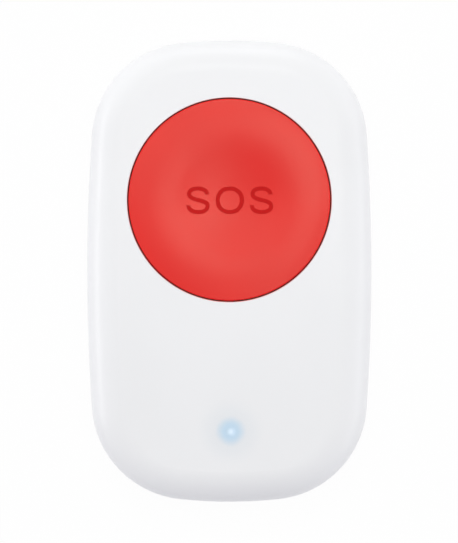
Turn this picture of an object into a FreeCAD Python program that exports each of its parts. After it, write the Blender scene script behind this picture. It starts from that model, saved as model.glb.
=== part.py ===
"""A wireless panic button: a pebble of a housing in two shells, with a large dished call button.

The part lies on its flat back. X runs across it, Y towards the end with the button, Z out of its face.
The origin is the middle of the back face. All sizes are in millimetres and angles in degrees.
"""

import FreeCAD, Part
import Sketcher
import math
import os

DRIVING_SIZES = [
    ("length", "86", "housing, end to end"),
    ("width", "53", "housing, side to side"),
    ("side_radius", "370", "bow of the long sides"),
    ("end_radius", "88", "bow of the two ends"),
    ("corner_radius", "18.3", "corners of the outline"),
    ("crown_radius", "500", "ball that the front face is part of"),
    ("front_edge_radius", "6", "rounding from the face into the sides"),
    ("back_edge_radius", "2.5", "rounding from the sides into the back"),
    ("wall", "2", "side walls and front face"),
    ("floor_thickness", "1.8", "back wall"),
    ("parting_rise", "0.2", "seam above the underside of the circuit board"),
    ("tongue_inset", "1.1", "outside of the housing to the outside of the tongue"),
    ("tongue_height", "1.4", "rear cover's tongue above the parting plane"),
    ("seam_clearance", "0.1", "play between tongue and rebate"),
    ("reveal_height", "0.4", "shadow line round the seam"),
    ("reveal_depth", "0.4", "how far the shadow line goes in"),
    ("cover_screw_side", "9.8", "cover screws, in from the sides"),
    ("cover_screw_end", "10.3", "cover screws, in from the ends"),
    ("cover_screw_radius", "1", "shank"),
    ("cover_screw_length", "8", "shank, under the head"),
    ("cover_head_radius", "1.9", "pan head"),
    ("cover_head_height", "1.3", "pan head"),
    ("cover_head_sink", "0.9", "back face to the top of the head"),
    ("cover_boss_radius", "3", "screw bosses of both shells"),
    ("boss_gap", "0.1", "between the two shells' screw bosses"),
    ("screw_clearance", "0.15", "round a shank that passes through"),
    ("thread_clearance", "0.02", "between a shank and its pilot hole"),
    ("head_clearance", "0.3", "round a sunk screw head"),
    ("pilot_spare", "1", "pilot hole past the screw's tip"),
    ("board_clearance", "1", "coin cell to the circuit board"),
    ("board_thickness", "1", "circuit board"),
    ("board_gap", "0.6", "circuit board to the inside of the wall"),
    ("board_notch_gap", "0.4", "circuit board round the screw bosses"),
    ("board_screw_side", "6.5", "pair of board screws, in from the sides"),
    ("board_screw_end", "33.5", "pair of board screws, up from the lamp's end"),
    ("third_screw_end", "5.7", "third board screw, in from the button's end"),
    ("board_screw_radius", "0.8", "shank"),
    ("board_screw_length", "4", "shank, under the head"),
    ("board_head_radius", "1.6", "pan head"),
    ("board_head_height", "1", "pan head"),
    ("board_post_radius", "2", "front shell's posts above the board"),
    ("board_rest_radius", "1.5", "rear cover's posts below the board"),
    ("board_rest_end", "23", "rear cover's posts, in from the button's end"),
    ("button_end", "29.7", "middle of the button, in from its end"),
    ("button_radius", "18.8", "call button"),
    ("button_gap", "0.2", "round the button"),
    ("button_travel", "0.4", "how far the button goes in"),
    ("button_edge_radius", "0.25", "rounding of the button's rim"),
    ("opening_chamfer", "0.12", "edge of the opening in the front face"),
    ("dish_depth", "0.9", "finger dish below its crest"),
    ("crest_radius", "13.8", "crest of the finger dish"),
    ("crest_round", "40", "roll of the crest, in section"),
    ("cap_thickness", "1.6", "button at the bottom of the dish"),
    ("skirt_thickness", "1.3", "button's skirt"),
    ("skirt_rise", "0.3", "lower edge of the skirt above the collar's foot"),
    ("collar_wall", "1.4", "collar that guides the button"),
    ("collar_depth", "5.6", "front of the housing to the collar's foot, where the hooks catch"),
    ("hook_count", "4", "snap hooks on the skirt"),
    ("hook_angle", "20", "width of a snap hook, seen from the middle"),
    ("hook_turn", "45", "first snap hook, from the X axis"),
    ("hook_reach", "1", "hook past the skirt"),
    ("hook_height", "1", "hook, along the travel"),
    ("key_width", "1.6", "rib that keeps the button from turning"),
    ("key_reach", "0.7", "rib past the skirt"),
    ("key_height", "2", "rib, along the travel"),
    ("key_clearance", "0.2", "round the rib in its slot"),
    ("post_radius", "2.2", "button's middle post, on the switch"),
    ("post_height", "1.18", "button's middle post, switch to the button's underside"),
    ("rib_thickness", "1", "stiffening ribs of both mouldings"),
    ("rib_height", "1", "ribs under the button"),
    ("rib_count", "6", "ribs under the button"),
    ("switch_width", "6.2", "push switch, square"),
    ("switch_body_height", "3.5", "push switch without its plunger"),
    ("plunger_rise", "0.8", "plunger above the push switch"),
    ("switch_cover_thickness", "0.3", "metal top of the switch"),
    ("switch_floor", "0.8", "bottom of the switch under its dome"),
    ("plunger_radius", "1.75", "plunger above its flange"),
    ("plunger_flange_radius", "2.3", "flange under the metal top"),
    ("plunger_clearance", "0.06", "round the plunger and its flange"),
    ("dome_edge_gap", "0.16", "round the snap dome in the switch"),
    ("dome_pressed_height", "0.4", "snap dome when the button is in"),
    ("dome_thickness", "0.08", "snap dome in the switch"),
    ("dome_gap", "0.03", "snap dome to the plunger"),
    ("lead_width", "0.7", "four leads of the switch"),
    ("lead_thickness", "0.25", "four leads of the switch"),
    ("lead_reach", "1.1", "leads past the switch"),
    ("lead_spacing", "4.5", "leads, middle to middle"),
    ("lamp_end", "13.2", "status lamp, in from its end"),
    ("lamp_length", "3.5", "lamp package along X"),
    ("lamp_width", "2.8", "lamp package along Y"),
    ("lamp_height", "1.9", "lamp package"),
    ("lens_radius", "1.2", "lamp's round lens"),
    ("pipe_gap", "0.3", "lamp to the foot of the light pipe"),
    ("pipe_foot_radius", "1.5", "light pipe's foot"),
    ("pipe_flange_radius", "2.2", "light pipe's stop"),
    ("pipe_seat_depth", "3.6", "front of the housing to the light pipe's seat"),
    ("pipe_flange_height", "0.8", "light pipe's stop"),
    ("pipe_stem_radius", "1.2", "light pipe in its boss"),
    ("pipe_tip_radius", "0.75", "light pipe at the front face"),
    ("pipe_tip_length", "1.2", "thin end of the light pipe"),
    ("pipe_clearance", "0.05", "round the light pipe"),
    ("pipe_boss_radius", "2.8", "boss that holds the light pipe"),
    ("door_offset", "12", "battery door, from the middle towards the lamp"),
    ("door_flange", "0.8", "battery door's edge past the seal's bore"),
    ("door_gap", "0.2", "round the battery door"),
    ("door_sink", "0.3", "door's face below the back face"),
    ("door_thickness", "1.3", "battery door's plate"),
    ("door_edge_chamfer", "0.3", "edge of the battery door"),
    ("cell_play", "0.3", "round the coin cell in the door's cup"),
    ("cup_wall", "0.9", "door's cup"),
    ("cup_height", "1.1", "unbroken part of the cup, for the ring"),
    ("seal_gland", "1", "room for the sealing ring, cup to bore"),
    ("seal_thickness", "0.9", "sealing ring"),
    ("cup_clearance", "0.2", "cup to the ledge that the bayonet lugs catch on"),
    ("ledge_thickness", "0.9", "ledge that the bayonet lugs catch on"),
    ("lug_count", "3", "bayonet lugs"),
    ("lug_angle", "30", "a lug, seen from the middle"),
    ("lug_reach", "0.9", "lug past the cup"),
    ("lug_height", "0.8", "lug, along the axis"),
    ("lug_play", "0.05", "between lug and ledge"),
    ("lug_turn", "55", "first lug of the locked door, from the X axis"),
    ("door_turn", "50", "turn that unlocks the door"),
    ("notch_clearance", "3", "each side of a lug in its notch, in degrees"),
    ("stop_angle", "5", "stop beside a locked lug"),
    ("pointer_turn", "90", "pointer of the locked door, from the X axis"),
    ("door_ring_wall", "1.4", "rear cover's ring round the door"),
    ("coin_slot_width", "2", "slot for a coin"),
    ("coin_slot_depth", "0.7", "slot for a coin, in the middle"),
    ("coin_radius", "40", "curve of the slot's bottom"),
    ("mark_depth", "0.25", "engraved marks"),
    ("mark_radius", "0.5", "engraved dots"),
    ("mark_inset", "1.2", "dot on the door, in from its edge"),
    ("mark_offset", "1.4", "dots on the cover, out from the door"),
    ("cell_radius", "10", "coin cell"),
    ("cell_height", "3.2", "coin cell"),
    ("cell_cap_radius", "8.8", "raised negative side of the coin cell"),
    ("cell_cap_height", "0.4", "raised negative side of the coin cell"),
    ("cell_edge_radius", "0.4", "coin cell's edges"),
    ("contact_width", "3", "battery contacts"),
    ("contact_thickness", "0.25", "battery contacts"),
    ("contact_foot", "3", "soldered foot of a battery contact"),
    ("contact_gap", "0.06", "contact to the coin cell"),
    ("contact_reach", "1.7", "side contact down past the top of the cell"),
    ("finger_run", "5", "sloping run of the middle contact"),
    ("module_side", "15.5", "middle of the radio module, in from the side"),
    ("module_end", "22.7", "middle of the radio module, up from the lamp's end"),
    ("module_width", "12.5", "radio module"),
    ("module_length", "16", "radio module"),
    ("module_thickness", "0.8", "radio module"),
    ("shield_length", "10.5", "metal can on the module"),
    ("shield_margin", "1", "metal can, in from the module's edges"),
    ("shield_height", "1.6", "metal can on the module"),
    ("shield_corner", "0.6", "metal can's corners"),
    ("bulk_side", "14.5", "middle of the large capacitor, in from the side"),
    ("bulk_end", "26", "middle of the large capacitor, up from the lamp's end"),
    ("bulk_length", "7.3", "large capacitor"),
    ("bulk_width", "4.3", "large capacitor"),
    ("bulk_height", "2.8", "large capacitor"),
    ("bulk_chamfer", "0.4", "large capacitor's top edges"),
    ("chip_length", "1.6", "small chip parts"),
    ("chip_width", "0.8", "small chip parts"),
    ("chip_height", "0.5", "small chip parts"),
    ("chip_pitch", "2.4", "small chip parts, row to row"),
    ("chip_count", "4", "small chip parts in a row"),
    ("chip_end", "12", "first of the small chip parts, up from the lamp's end"),
    ("capacitor_side", "19.5", "row of chip capacitors, in from the side"),
    ("resistor_side", "15.5", "row of chip resistors, in from the side"),
]

FULL_TURN = 360
OUTPUT_FOLDER = "parts"

document = FreeCAD.newDocument("panic_button")
sheet = document.addObject("Spreadsheet::Sheet", "sizes")


class Size:
    """A size with its present value and the expression on the sheet that gives it."""

    def __init__(self, value, text):
        self.value = value
        self.text = text

    def __add__(self, other):
        other = as_size(other)
        return Size(self.value + other.value, f"({self.text} + {other.text})")

    def __sub__(self, other):
        other = as_size(other)
        return Size(self.value - other.value, f"({self.text} - {other.text})")

    def __mul__(self, other):
        other = as_size(other)
        return Size(self.value * other.value, f"({self.text} * {other.text})")

    def __truediv__(self, other):
        other = as_size(other)
        return Size(self.value / other.value, f"({self.text} / {other.text})")

    def __radd__(self, other):
        return as_size(other) + self

    def __rsub__(self, other):
        return as_size(other) - self

    def __rmul__(self, other):
        return as_size(other) * self

    def __neg__(self):
        return Size(-self.value, f"(-{self.text})")

    def root(self):
        return Size(math.sqrt(self.value), f"sqrt({self.text})")

    def arcsine(self):
        return Size(math.degrees(math.asin(self.value)), f"asin({self.text})")

    def cosine(self):
        return Size(math.cos(math.radians(self.value)), f"cos({self.text} * 1 deg)")

    def sine(self):
        return Size(math.sin(math.radians(self.value)), f"sin({self.text} * 1 deg)")


def as_size(number):
    return number if isinstance(number, Size) else Size(float(number), repr(float(number)))


def fill_sheet():
    """Puts the driving sizes on the sheet, and returns them by name."""
    found = {}
    for row, (alias, value, meaning) in enumerate(DRIVING_SIZES, start=1):
        sheet.set(f"A{row}", meaning)
        sheet.set(f"B{row}", value)
        sheet.setAlias(f"B{row}", alias)
        found[alias] = Size(float(value), f"sizes.{alias}")
    document.recompute()
    return found


size = fill_sheet()
ZERO = as_size(0)


def bind(thing, path, length):
    """Ties a property to the sheet."""
    thing.setExpression(path, as_size(length).text)


# Sketches. Each has its own origin at the middle of what it draws, set off from its body's plane.


def new_body(label):
    body = document.addObject("PartDesign::Body", label)
    body.Label = label
    return body


def new_sketch(body, name, plane="XY_Plane", base=(0, 0, 0), turn=None, turn_axis=(0, 1, 0)):
    """A sketch on one of the body's planes, moved by base and turned, both in that plane's own axes."""
    sketch = body.newObject("Sketcher::SketchObject", name)
    origin = {feature.Role: feature for feature in body.Origin.OriginFeatures}
    sketch.AttachmentSupport = [(origin[plane], "")]
    sketch.MapMode = "FlatFace"
    place = FreeCAD.Vector(*[as_size(part).value for part in base])
    angle = as_size(turn or 0)
    sketch.AttachmentOffset = FreeCAD.Placement(
        place, FreeCAD.Rotation(FreeCAD.Vector(*turn_axis), angle.value)
    )
    for axis, part in zip("xyz", base):
        if isinstance(part, Size):
            bind(sketch, f".AttachmentOffset.Base.{axis}", part)
    if isinstance(turn, Size):
        bind(sketch, ".AttachmentOffset.Rotation.Angle", turn)
    return sketch


def level_sketch(body, name, level, x=0, y=0):
    return new_sketch(body, name, "XY_Plane", (x, y, level))


def lathe_sketch(body, name, x=0, y=0, turn=None):
    """A sketch of a half section, whose V axis stands at (x, y) and points up."""
    return new_sketch(body, name, "XZ_Plane", (x, ZERO, -as_size(y)), turn)


def named(sketch, constraint, name, length):
    """Adds a dimension that the sheet sets."""
    index = sketch.addConstraint(constraint)
    sketch.renameConstraint(index, name)
    bind(sketch, f"Constraints.{name}", length)


def hold_point(sketch, geometry, end, x, y):
    """Holds a point of the sketch at a place that the sheet gives."""
    for axis, part, line in (("X", x, -2), ("Y", y, -1)):
        part = as_size(part)
        if part.value == 0:
            sketch.addConstraint(Sketcher.Constraint("PointOnObject", geometry, end, line))
            continue
        held = Sketcher.Constraint(f"Distance{axis}", -1, 1, geometry, end, part.value)
        named(sketch, held, f"place{geometry}_{end}{axis}", part)


def vector(x, y):
    return FreeCAD.Vector(as_size(x).value, as_size(y).value, 0)


def draw_circle(sketch, radius, x=0, y=0):
    radius = as_size(radius)
    upright = FreeCAD.Vector(0, 0, 1)
    index = sketch.addGeometry(Part.Circle(vector(x, y), upright, radius.value))
    hold_point(sketch, index, 3, x, y)
    named(sketch, Sketcher.Constraint("Radius", index, radius.value), f"radius{index}", radius)


def draw_polygon(sketch, corners):
    """Closed straight-sided figure through the corners."""
    first = sketch.GeometryCount
    count = len(corners)
    for here, there in zip(corners, corners[1:] + corners[:1]):
        sketch.addGeometry(Part.LineSegment(vector(*here), vector(*there)))
    for index in range(count):
        following = first + (index + 1) % count
        sketch.addConstraint(Sketcher.Constraint("Coincident", first + index, 2, following, 1))
    for index, (x, y) in enumerate(corners):
        hold_point(sketch, first + index, 1, x, y)


def draw_rectangle(sketch, across, along):
    x = as_size(across) / 2
    y = as_size(along) / 2
    draw_polygon(sketch, [(-x, -y), (x, -y), (x, y), (-x, y)])


def draw_outline(sketch, inset):
    """The housing's outline, set in by inset: eight arcs, each tangent to the next."""
    reach_x = size["width"] / 2 - inset
    reach_y = size["length"] / 2 - inset
    side = size["side_radius"] - inset
    end = size["end_radius"] - inset
    corner = size["corner_radius"] - inset
    side_centre = side - reach_x
    end_centre = end - reach_y
    corner_x, corner_y = meeting_point(
        (-side_centre.value, side.value - corner.value),
        (-end_centre.value, end.value - corner.value),
    )
    low = math.atan2(corner_y, corner_x + side_centre.value)
    high = math.atan2(corner_y + end_centre.value, corner_x)
    half_turn = math.pi
    arcs = [
        (-side_centre.value, 0, side.value, -low, low),
        (corner_x, corner_y, corner.value, low, high),
        (0, -end_centre.value, end.value, high, half_turn - high),
        (-corner_x, corner_y, corner.value, half_turn - high, half_turn - low),
        (side_centre.value, 0, side.value, half_turn - low, half_turn + low),
        (-corner_x, -corner_y, corner.value, half_turn + low, half_turn + high),
        (0, end_centre.value, end.value, half_turn + high, 2 * half_turn - high),
        (corner_x, -corner_y, corner.value, 2 * half_turn - high, 2 * half_turn - low),
    ]
    upright = FreeCAD.Vector(0, 0, 1)
    for x, y, radius, start, stop in arcs:
        circle = Part.Circle(FreeCAD.Vector(x, y, 0), upright, radius)
        sketch.addGeometry(Part.ArcOfCircle(circle, start, stop))
    count = len(arcs)
    for index in range(count):
        following = (index + 1) % count
        sketch.addConstraint(Sketcher.Constraint("Tangent", index, 2, following, 1))
    named(sketch, Sketcher.Constraint("Radius", 0, side.value), "side", side)
    named(sketch, Sketcher.Constraint("Radius", 2, end.value), "end", end)
    named(sketch, Sketcher.Constraint("Radius", 1, corner.value), "corner", corner)
    for like, others in ((0, (4,)), (2, (6,)), (1, (3, 5, 7))):
        for other in others:
            sketch.addConstraint(Sketcher.Constraint("Equal", like, other))
    hold_point(sketch, 0, 3, -side_centre, ZERO)
    hold_point(sketch, 4, 3, side_centre, ZERO)
    hold_point(sketch, 2, 3, ZERO, -end_centre)
    hold_point(sketch, 6, 3, ZERO, end_centre)


def meeting_point(on_x, on_y):
    """Where two circles cross in the first quarter: one centred on the X axis and one on the Y axis."""
    (x, x_reach), (y, y_reach) = on_x, on_y
    apart = math.hypot(x, y)
    along = (x_reach**2 - y_reach**2 + apart**2) / (2 * apart)
    aside = math.sqrt(x_reach**2 - along**2)
    unit_x, unit_y = -x / apart, y / apart
    return x + along * unit_x - aside * unit_y, along * unit_y + aside * unit_x


# Features. A cut that removes nothing stops the build.


def pad(body, sketch, height):
    sketch.Visibility = False
    feature = body.newObject("PartDesign::Pad", "pad")
    feature.Profile = sketch
    bind(feature, "Length", height)
    return feature


def check_cut(body, feature, before):
    document.recompute()
    if not body.Shape.Volume < before - 1e-6:
        raise ValueError(f"{feature.Label} of {body.Label} cuts nothing")
    return feature


def pocket(body, sketch, depth, upward=False, midplane=False):
    """A cut from the sketch's plane, away from the way it faces, or the other way if upward."""
    document.recompute()
    before = body.Shape.Volume
    feature = body.newObject("PartDesign::Pocket", "pocket")
    feature.Profile = sketch
    feature.Reversed = upward
    feature.Midplane = midplane
    bind(feature, "Length", depth)
    return check_cut(body, feature, before)


def revolve(body, sketch, angle=FULL_TURN):
    feature = body.newObject("PartDesign::Revolution", "turning")
    feature.Profile = sketch
    feature.ReferenceAxis = (sketch, ["V_Axis"])
    feature.Midplane = isinstance(angle, Size)
    bind(feature, "Angle", angle)
    return feature


def groove(body, sketch, angle=FULL_TURN):
    document.recompute()
    before = body.Shape.Volume
    feature = body.newObject("PartDesign::Groove", "groove")
    feature.Profile = sketch
    feature.ReferenceAxis = (sketch, ["V_Axis"])
    feature.Midplane = isinstance(angle, Size)
    bind(feature, "Angle", angle)
    return check_cut(body, feature, before)


def repeat_round(body, feature, sketch, axis, count):
    """Copies a feature evenly round an axis of its sketch."""
    pattern = body.newObject("PartDesign::PolarPattern", "round")
    pattern.Originals = [feature]
    pattern.Axis = (sketch, [axis])
    pattern.Angle = FULL_TURN
    bind(pattern, "Occurrences", count)
    body.Tip = pattern
    return pattern


def edges_where(shape, test):
    """Names of the shape's edges whose bounding box passes the test."""
    return [f"Edge{i}" for i, edge in enumerate(shape.Edges, start=1) if test(edge)]


def dress(body, kind, test, **settings):
    """Rounds or chamfers the edges of the body that pass the test."""
    document.recompute()
    base = body.Tip
    chosen = edges_where(base.Shape, test)
    if not chosen:
        raise ValueError(f"{body.Label} has no edge for its {kind.lower()}")
    feature = body.newObject(f"PartDesign::{kind}", kind.lower())
    feature.Base = (base, chosen)
    for path, length in settings.items():
        bind(feature, path, length)
    document.recompute()
    return feature


def lathe(body, name, corners, x=0, y=0, angle=FULL_TURN, turn=None, cut=False):
    """Turns a half section about an upright axis at (x, y), or cuts with it."""
    sketch = lathe_sketch(body, name, x, y, turn)
    draw_polygon(sketch, corners)
    feature = groove(body, sketch, angle) if cut else revolve(body, sketch, angle)
    return feature, sketch


def cylinder(body, name, radius, low, high, x=0, y=0):
    """A round boss from one level to another."""
    sketch = level_sketch(body, name, low, x, y)
    draw_circle(sketch, radius)
    return pad(body, sketch, as_size(high) - low)


def block(body, name, across, along, low, high, x=0, y=0):
    """A square-cornered boss from one level to another."""
    sketch = level_sketch(body, name, low, x, y)
    draw_rectangle(sketch, across, along)
    return pad(body, sketch, as_size(high) - low)


def combine(kind, label, *things):
    """A Part boolean: Cut and Common take two things, MultiFuse any number."""
    feature = document.addObject(f"Part::{kind}", label)
    feature.Label = label
    if kind == "MultiFuse":
        feature.Shapes = list(things)
    else:
        feature.Base, feature.Tool = things
    return feature


# Levels and places that several pieces share.

half_width = size["width"] / 2
half_length = size["length"] / 2

door_y = -size["door_offset"]
door_seat = size["door_sink"] + size["door_thickness"]
cup_bore = size["cell_radius"] + size["cell_play"]
cup_radius = cup_bore + size["cup_wall"]
seal_bore = cup_radius + size["seal_gland"]
ledge_bore = cup_radius + size["cup_clearance"]
door_radius = seal_bore + size["door_flange"]
door_recess = door_radius + size["door_gap"]
door_ring_radius = door_recess + size["door_ring_wall"]
ledge_level = door_seat + size["cup_height"]
ledge_top = ledge_level + size["ledge_thickness"]
lug_level = ledge_top + size["lug_play"]
lug_top = lug_level + size["lug_height"]
notch_turn = size["lug_turn"] - size["door_turn"]
contact_turn = size["lug_turn"] + FULL_TURN / 3 / 2 - size["door_turn"] / 2

cell_top = door_seat + size["cell_height"]
board_level = cell_top + size["board_clearance"]
board_top = board_level + size["board_thickness"]
board_inset = size["wall"] + size["board_gap"]
parting = board_level + size["parting_rise"]
rebate_top = parting + size["tongue_height"] + size["seam_clearance"]
switch_top = board_top + size["switch_body_height"] + size["plunger_rise"]

button_y = half_length - size["button_end"]
opening_radius = size["button_radius"] + size["button_gap"]
collar_radius = opening_radius + size["collar_wall"]
crown_square = size["crown_radius"] * size["crown_radius"]
rim_height = (crown_square - size["button_radius"] * size["button_radius"]).root()
crest_square = size["crest_round"] * size["crest_round"]
crest_step = size["button_radius"] - size["crest_radius"]
crest_centre = rim_height - (crest_square - crest_step * crest_step).root()
dish_floor = crest_centre + size["crest_round"] - size["dish_depth"]
button_lean = button_y / size["crown_radius"]
button_tilt = button_lean.arcsine()
dish_rise = dish_floor * (1 - button_lean * button_lean).root()
cap_underside = switch_top + size["post_height"]
crown_centre = cap_underside + size["cap_thickness"] - dish_rise
depth = crown_centre + size["crown_radius"]
catch_level = depth - size["collar_depth"]
skirt_foot = catch_level + size["skirt_rise"]

lamp_y = size["lamp_end"] - half_length
pipe_seat = depth - size["pipe_seat_depth"]
pipe_end_level = crown_centre + (crown_square - lamp_y * lamp_y).root()
head_seat = size["cover_head_sink"] + size["cover_head_height"]
cover_screw_x = half_width - size["cover_screw_side"]
cover_screw_y = half_length - size["cover_screw_end"]
board_screw_x = half_width - size["board_screw_side"]
board_screw_y = size["board_screw_end"] - half_length
MARGIN = 1


def mirrored_places(x, y):
    return [(x, y), (-x, y), (x, -y), (-x, -y)]


cover_screw_places = mirrored_places(cover_screw_x, cover_screw_y)
board_screw_places = [
    (board_screw_x, board_screw_y),
    (-board_screw_x, board_screw_y),
    (ZERO, half_length - size["third_screw_end"]),
]


# The housing. Both shells are cut from one solid form and hollowed with one inner form, so they line up.


def pebble(label, inset, bottom, top_radius, bottom_radius=None):
    """The housing's form, or what is left of it when every wall is set in."""
    body = new_body(label)
    outline = level_sketch(body, f"{label}_outline", bottom)
    draw_outline(outline, inset)
    pad(body, outline, depth - bottom)
    crown = new_sketch(body, f"{label}_crown", "XZ_Plane", (0, crown_centre, 0))
    radius = size["crown_radius"] - inset
    reach = (size["length"] + size["width"]) / 2
    draw_crown(crown, radius, reach)
    groove(body, crown)
    top = body.Shape.BoundBox.ZMax
    low = as_size(bottom).value
    sag = reach.value**2 / radius.value

    def on_rim(edge):
        return edge.BoundBox.ZMin > top - sag and edge.BoundBox.ZMax - edge.BoundBox.ZMin < sag

    def on_base(edge):
        return edge.BoundBox.ZMax < low + MARGIN / 10

    dress(body, "Fillet", on_rim, Radius=top_radius)
    if bottom_radius:
        dress(body, "Fillet", on_base, Radius=bottom_radius)
    return body


def draw_crown(sketch, radius, reach):
    """What lies above the front face's ball, as a half section about the ball's centre."""
    edge = (radius * radius - reach * reach).root()
    above = radius + depth
    upright = FreeCAD.Vector(0, 0, 1)
    ball = Part.Circle(FreeCAD.Vector(0, 0, 0), upright, radius.value)
    start = math.atan2(edge.value, reach.value)
    sketch.addGeometry(Part.ArcOfCircle(ball, start, math.pi / 2))
    sketch.addGeometry(Part.LineSegment(vector(ZERO, radius), vector(ZERO, above)))
    sketch.addGeometry(Part.LineSegment(vector(ZERO, above), vector(reach, above)))
    sketch.addGeometry(Part.LineSegment(vector(reach, above), vector(reach, edge)))
    sketch.addConstraint(Sketcher.Constraint("Coincident", 0, 3, -1, 1))
    named(sketch, Sketcher.Constraint("Radius", 0, radius.value), "ball", radius)
    sketch.addConstraint(Sketcher.Constraint("Coincident", 0, 2, 1, 1))
    sketch.addConstraint(Sketcher.Constraint("Coincident", 1, 2, 2, 1))
    sketch.addConstraint(Sketcher.Constraint("Coincident", 2, 2, 3, 1))
    sketch.addConstraint(Sketcher.Constraint("Coincident", 3, 2, 0, 1))
    sketch.addConstraint(Sketcher.Constraint("PointOnObject", 1, 1, -2))
    sketch.addConstraint(Sketcher.Constraint("Vertical", 3))
    hold_point(sketch, 1, 2, ZERO, above)
    hold_point(sketch, 2, 2, reach, above)


def ring_of_outline(label, inset, low, high):
    """The housing's outline set in by inset, as a plain slab."""
    body = new_body(label)
    outline = level_sketch(body, f"{label}_outline", low)
    draw_outline(outline, inset)
    pad(body, outline, as_size(high) - low)
    return body


def slab(label, low, high):
    """A block wider than the housing, between two levels."""
    box = document.addObject("Part::Box", label)
    box.Label = label
    bind(box, "Length", size["width"] + 2 * MARGIN)
    bind(box, "Width", size["length"] + 2 * MARGIN)
    bind(box, "Height", as_size(high) - low)
    bind(box, "Placement.Base.x", -half_width - MARGIN)
    bind(box, "Placement.Base.y", -half_length - MARGIN)
    bind(box, "Placement.Base.z", low)
    return box


def housing_forms():
    """The outer form, and the hollow, whose roof is a wall below the front face."""
    outer = pebble("outer_form", ZERO, ZERO, size["front_edge_radius"], size["back_edge_radius"])
    wall = size["wall"]
    inner_edge = size["front_edge_radius"] - wall
    inner = pebble("inner_form", wall, size["floor_thickness"], inner_edge)
    return outer, inner


def front_bosses():
    """All that stands in from the front shell: it is left out of the hollow."""
    body = new_body("front_bosses")
    high = depth
    low = catch_level
    cylinder(body, "collar", collar_radius, low, high, y=button_y)
    rib = size["rib_thickness"]
    start = collar_radius - size["collar_wall"] / 2
    beside = half_width - start
    for side in (1, -1):
        middle = (start + beside / 2) * side
        block(body, "side_rib", beside, rib, low, high, middle, button_y)
    beyond = half_length - button_y - start
    end_middle = button_y + start + beyond / 2
    block(body, "end_rib", rib, beyond, low, high, ZERO, end_middle)
    for x, y in cover_screw_places:
        cylinder(body, "screw_boss", size["cover_boss_radius"], parting, high, x, y)
    gussets(body, rebate_top, high)
    for x, y in board_screw_places:
        cylinder(body, "board_post", size["board_post_radius"], board_top, high, x, y)
    to_wall = half_width - board_screw_x
    for side in (1, -1):
        middle = (board_screw_x + to_wall / 2) * side
        block(body, "post_rib", to_wall, rib, low, high, middle, board_screw_y)
    cylinder(body, "pipe_boss", size["pipe_boss_radius"], pipe_seat, high, y=lamp_y)
    return body


def gussets(body, low, high):
    """Ribs that tie each screw boss to the walls beside it."""
    rib = size["rib_thickness"]
    across = half_width - cover_screw_x
    along = half_length - cover_screw_y
    for x_side in (1, -1):
        for y_side in (1, -1):
            x = cover_screw_x * x_side
            y = cover_screw_y * y_side
            block(body, "gusset_across", across, rib, low, high, x + across / 2 * x_side, y)
            block(body, "gusset_along", rib, along, low, high, x, y + along / 2 * y_side)


def front_openings():
    """All that is bored or cut through the front shell and its bosses."""
    body = new_body("front_openings")
    low = catch_level - MARGIN
    above = depth + MARGIN
    cylinder(body, "button_bore", opening_radius, low, above, y=button_y)
    chamfer = new_sketch(
        body, "opening_edge", "YZ_Plane", (0, crown_centre, 0), -button_tilt, (0, 0, 1)
    )
    edge = size["opening_chamfer"]
    surface = (crown_square - opening_radius * opening_radius).root()
    draw_polygon(
        chamfer,
        [
            (ZERO, surface - edge - MARGIN),
            (opening_radius - MARGIN, surface - edge - MARGIN),
            (opening_radius + edge + MARGIN, surface + MARGIN),
            (ZERO, surface + MARGIN),
        ],
    )
    revolve(body, chamfer)
    key = size["key_clearance"]
    slot_width = size["key_width"] + 2 * key
    slot_reach = opening_radius + size["key_reach"]
    slot_top = skirt_foot + size["key_height"] + key
    slot_middle = button_y - slot_reach / 2
    block(body, "key_slot", slot_width, slot_reach, low, slot_top, ZERO, slot_middle)
    screw_end = head_seat + size["cover_screw_length"] + size["pilot_spare"]
    pilot = size["cover_screw_radius"] + size["thread_clearance"]
    for x, y in cover_screw_places:
        cylinder(body, "screw_pilot", pilot, parting - MARGIN, screw_end, x, y)
    post_end = board_level + size["board_screw_length"] + size["pilot_spare"]
    post_pilot = size["board_screw_radius"] + size["thread_clearance"]
    for x, y in board_screw_places:
        cylinder(body, "post_pilot", post_pilot, board_top - MARGIN, post_end, x, y)
    play = size["pipe_clearance"]
    tip_level = pipe_end_level - size["pipe_tip_length"]
    stem = size["pipe_stem_radius"] + play
    cylinder(body, "pipe_stem_bore", stem, pipe_seat - MARGIN, tip_level + play, y=lamp_y)
    cylinder(body, "pipe_tip_bore", size["pipe_tip_radius"] + play, tip_level, above, y=lamp_y)
    return body


def make_front_shell(outer, inner):
    """The front half: a moulded shell with the button's collar, screw bosses, posts and ribs."""
    half = combine("Common", "front_half", outer, slab("front_slab", parting, depth + MARGIN))
    bosses = front_bosses()
    hollow = combine("Cut", "front_hollow", inner, bosses)
    rebate_inset = size["tongue_inset"] - size["seam_clearance"]
    rebate = ring_of_outline("front_rebate", rebate_inset, parting - MARGIN, rebate_top)
    rebate_room = combine("Cut", "rebate_room", rebate, bosses)
    reveal_top = parting + size["reveal_height"]
    reveal_core = ring_of_outline("reveal_core", size["reveal_depth"], parting - MARGIN, reveal_top)
    reveal_slab = slab("reveal_slab", parting - MARGIN, reveal_top)
    reveal = combine("Cut", "reveal", reveal_slab, reveal_core)
    removed = combine("MultiFuse", "front_removed", hollow, rebate_room, reveal, front_openings())
    return combine("Cut", "front_shell", half, removed)


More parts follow.
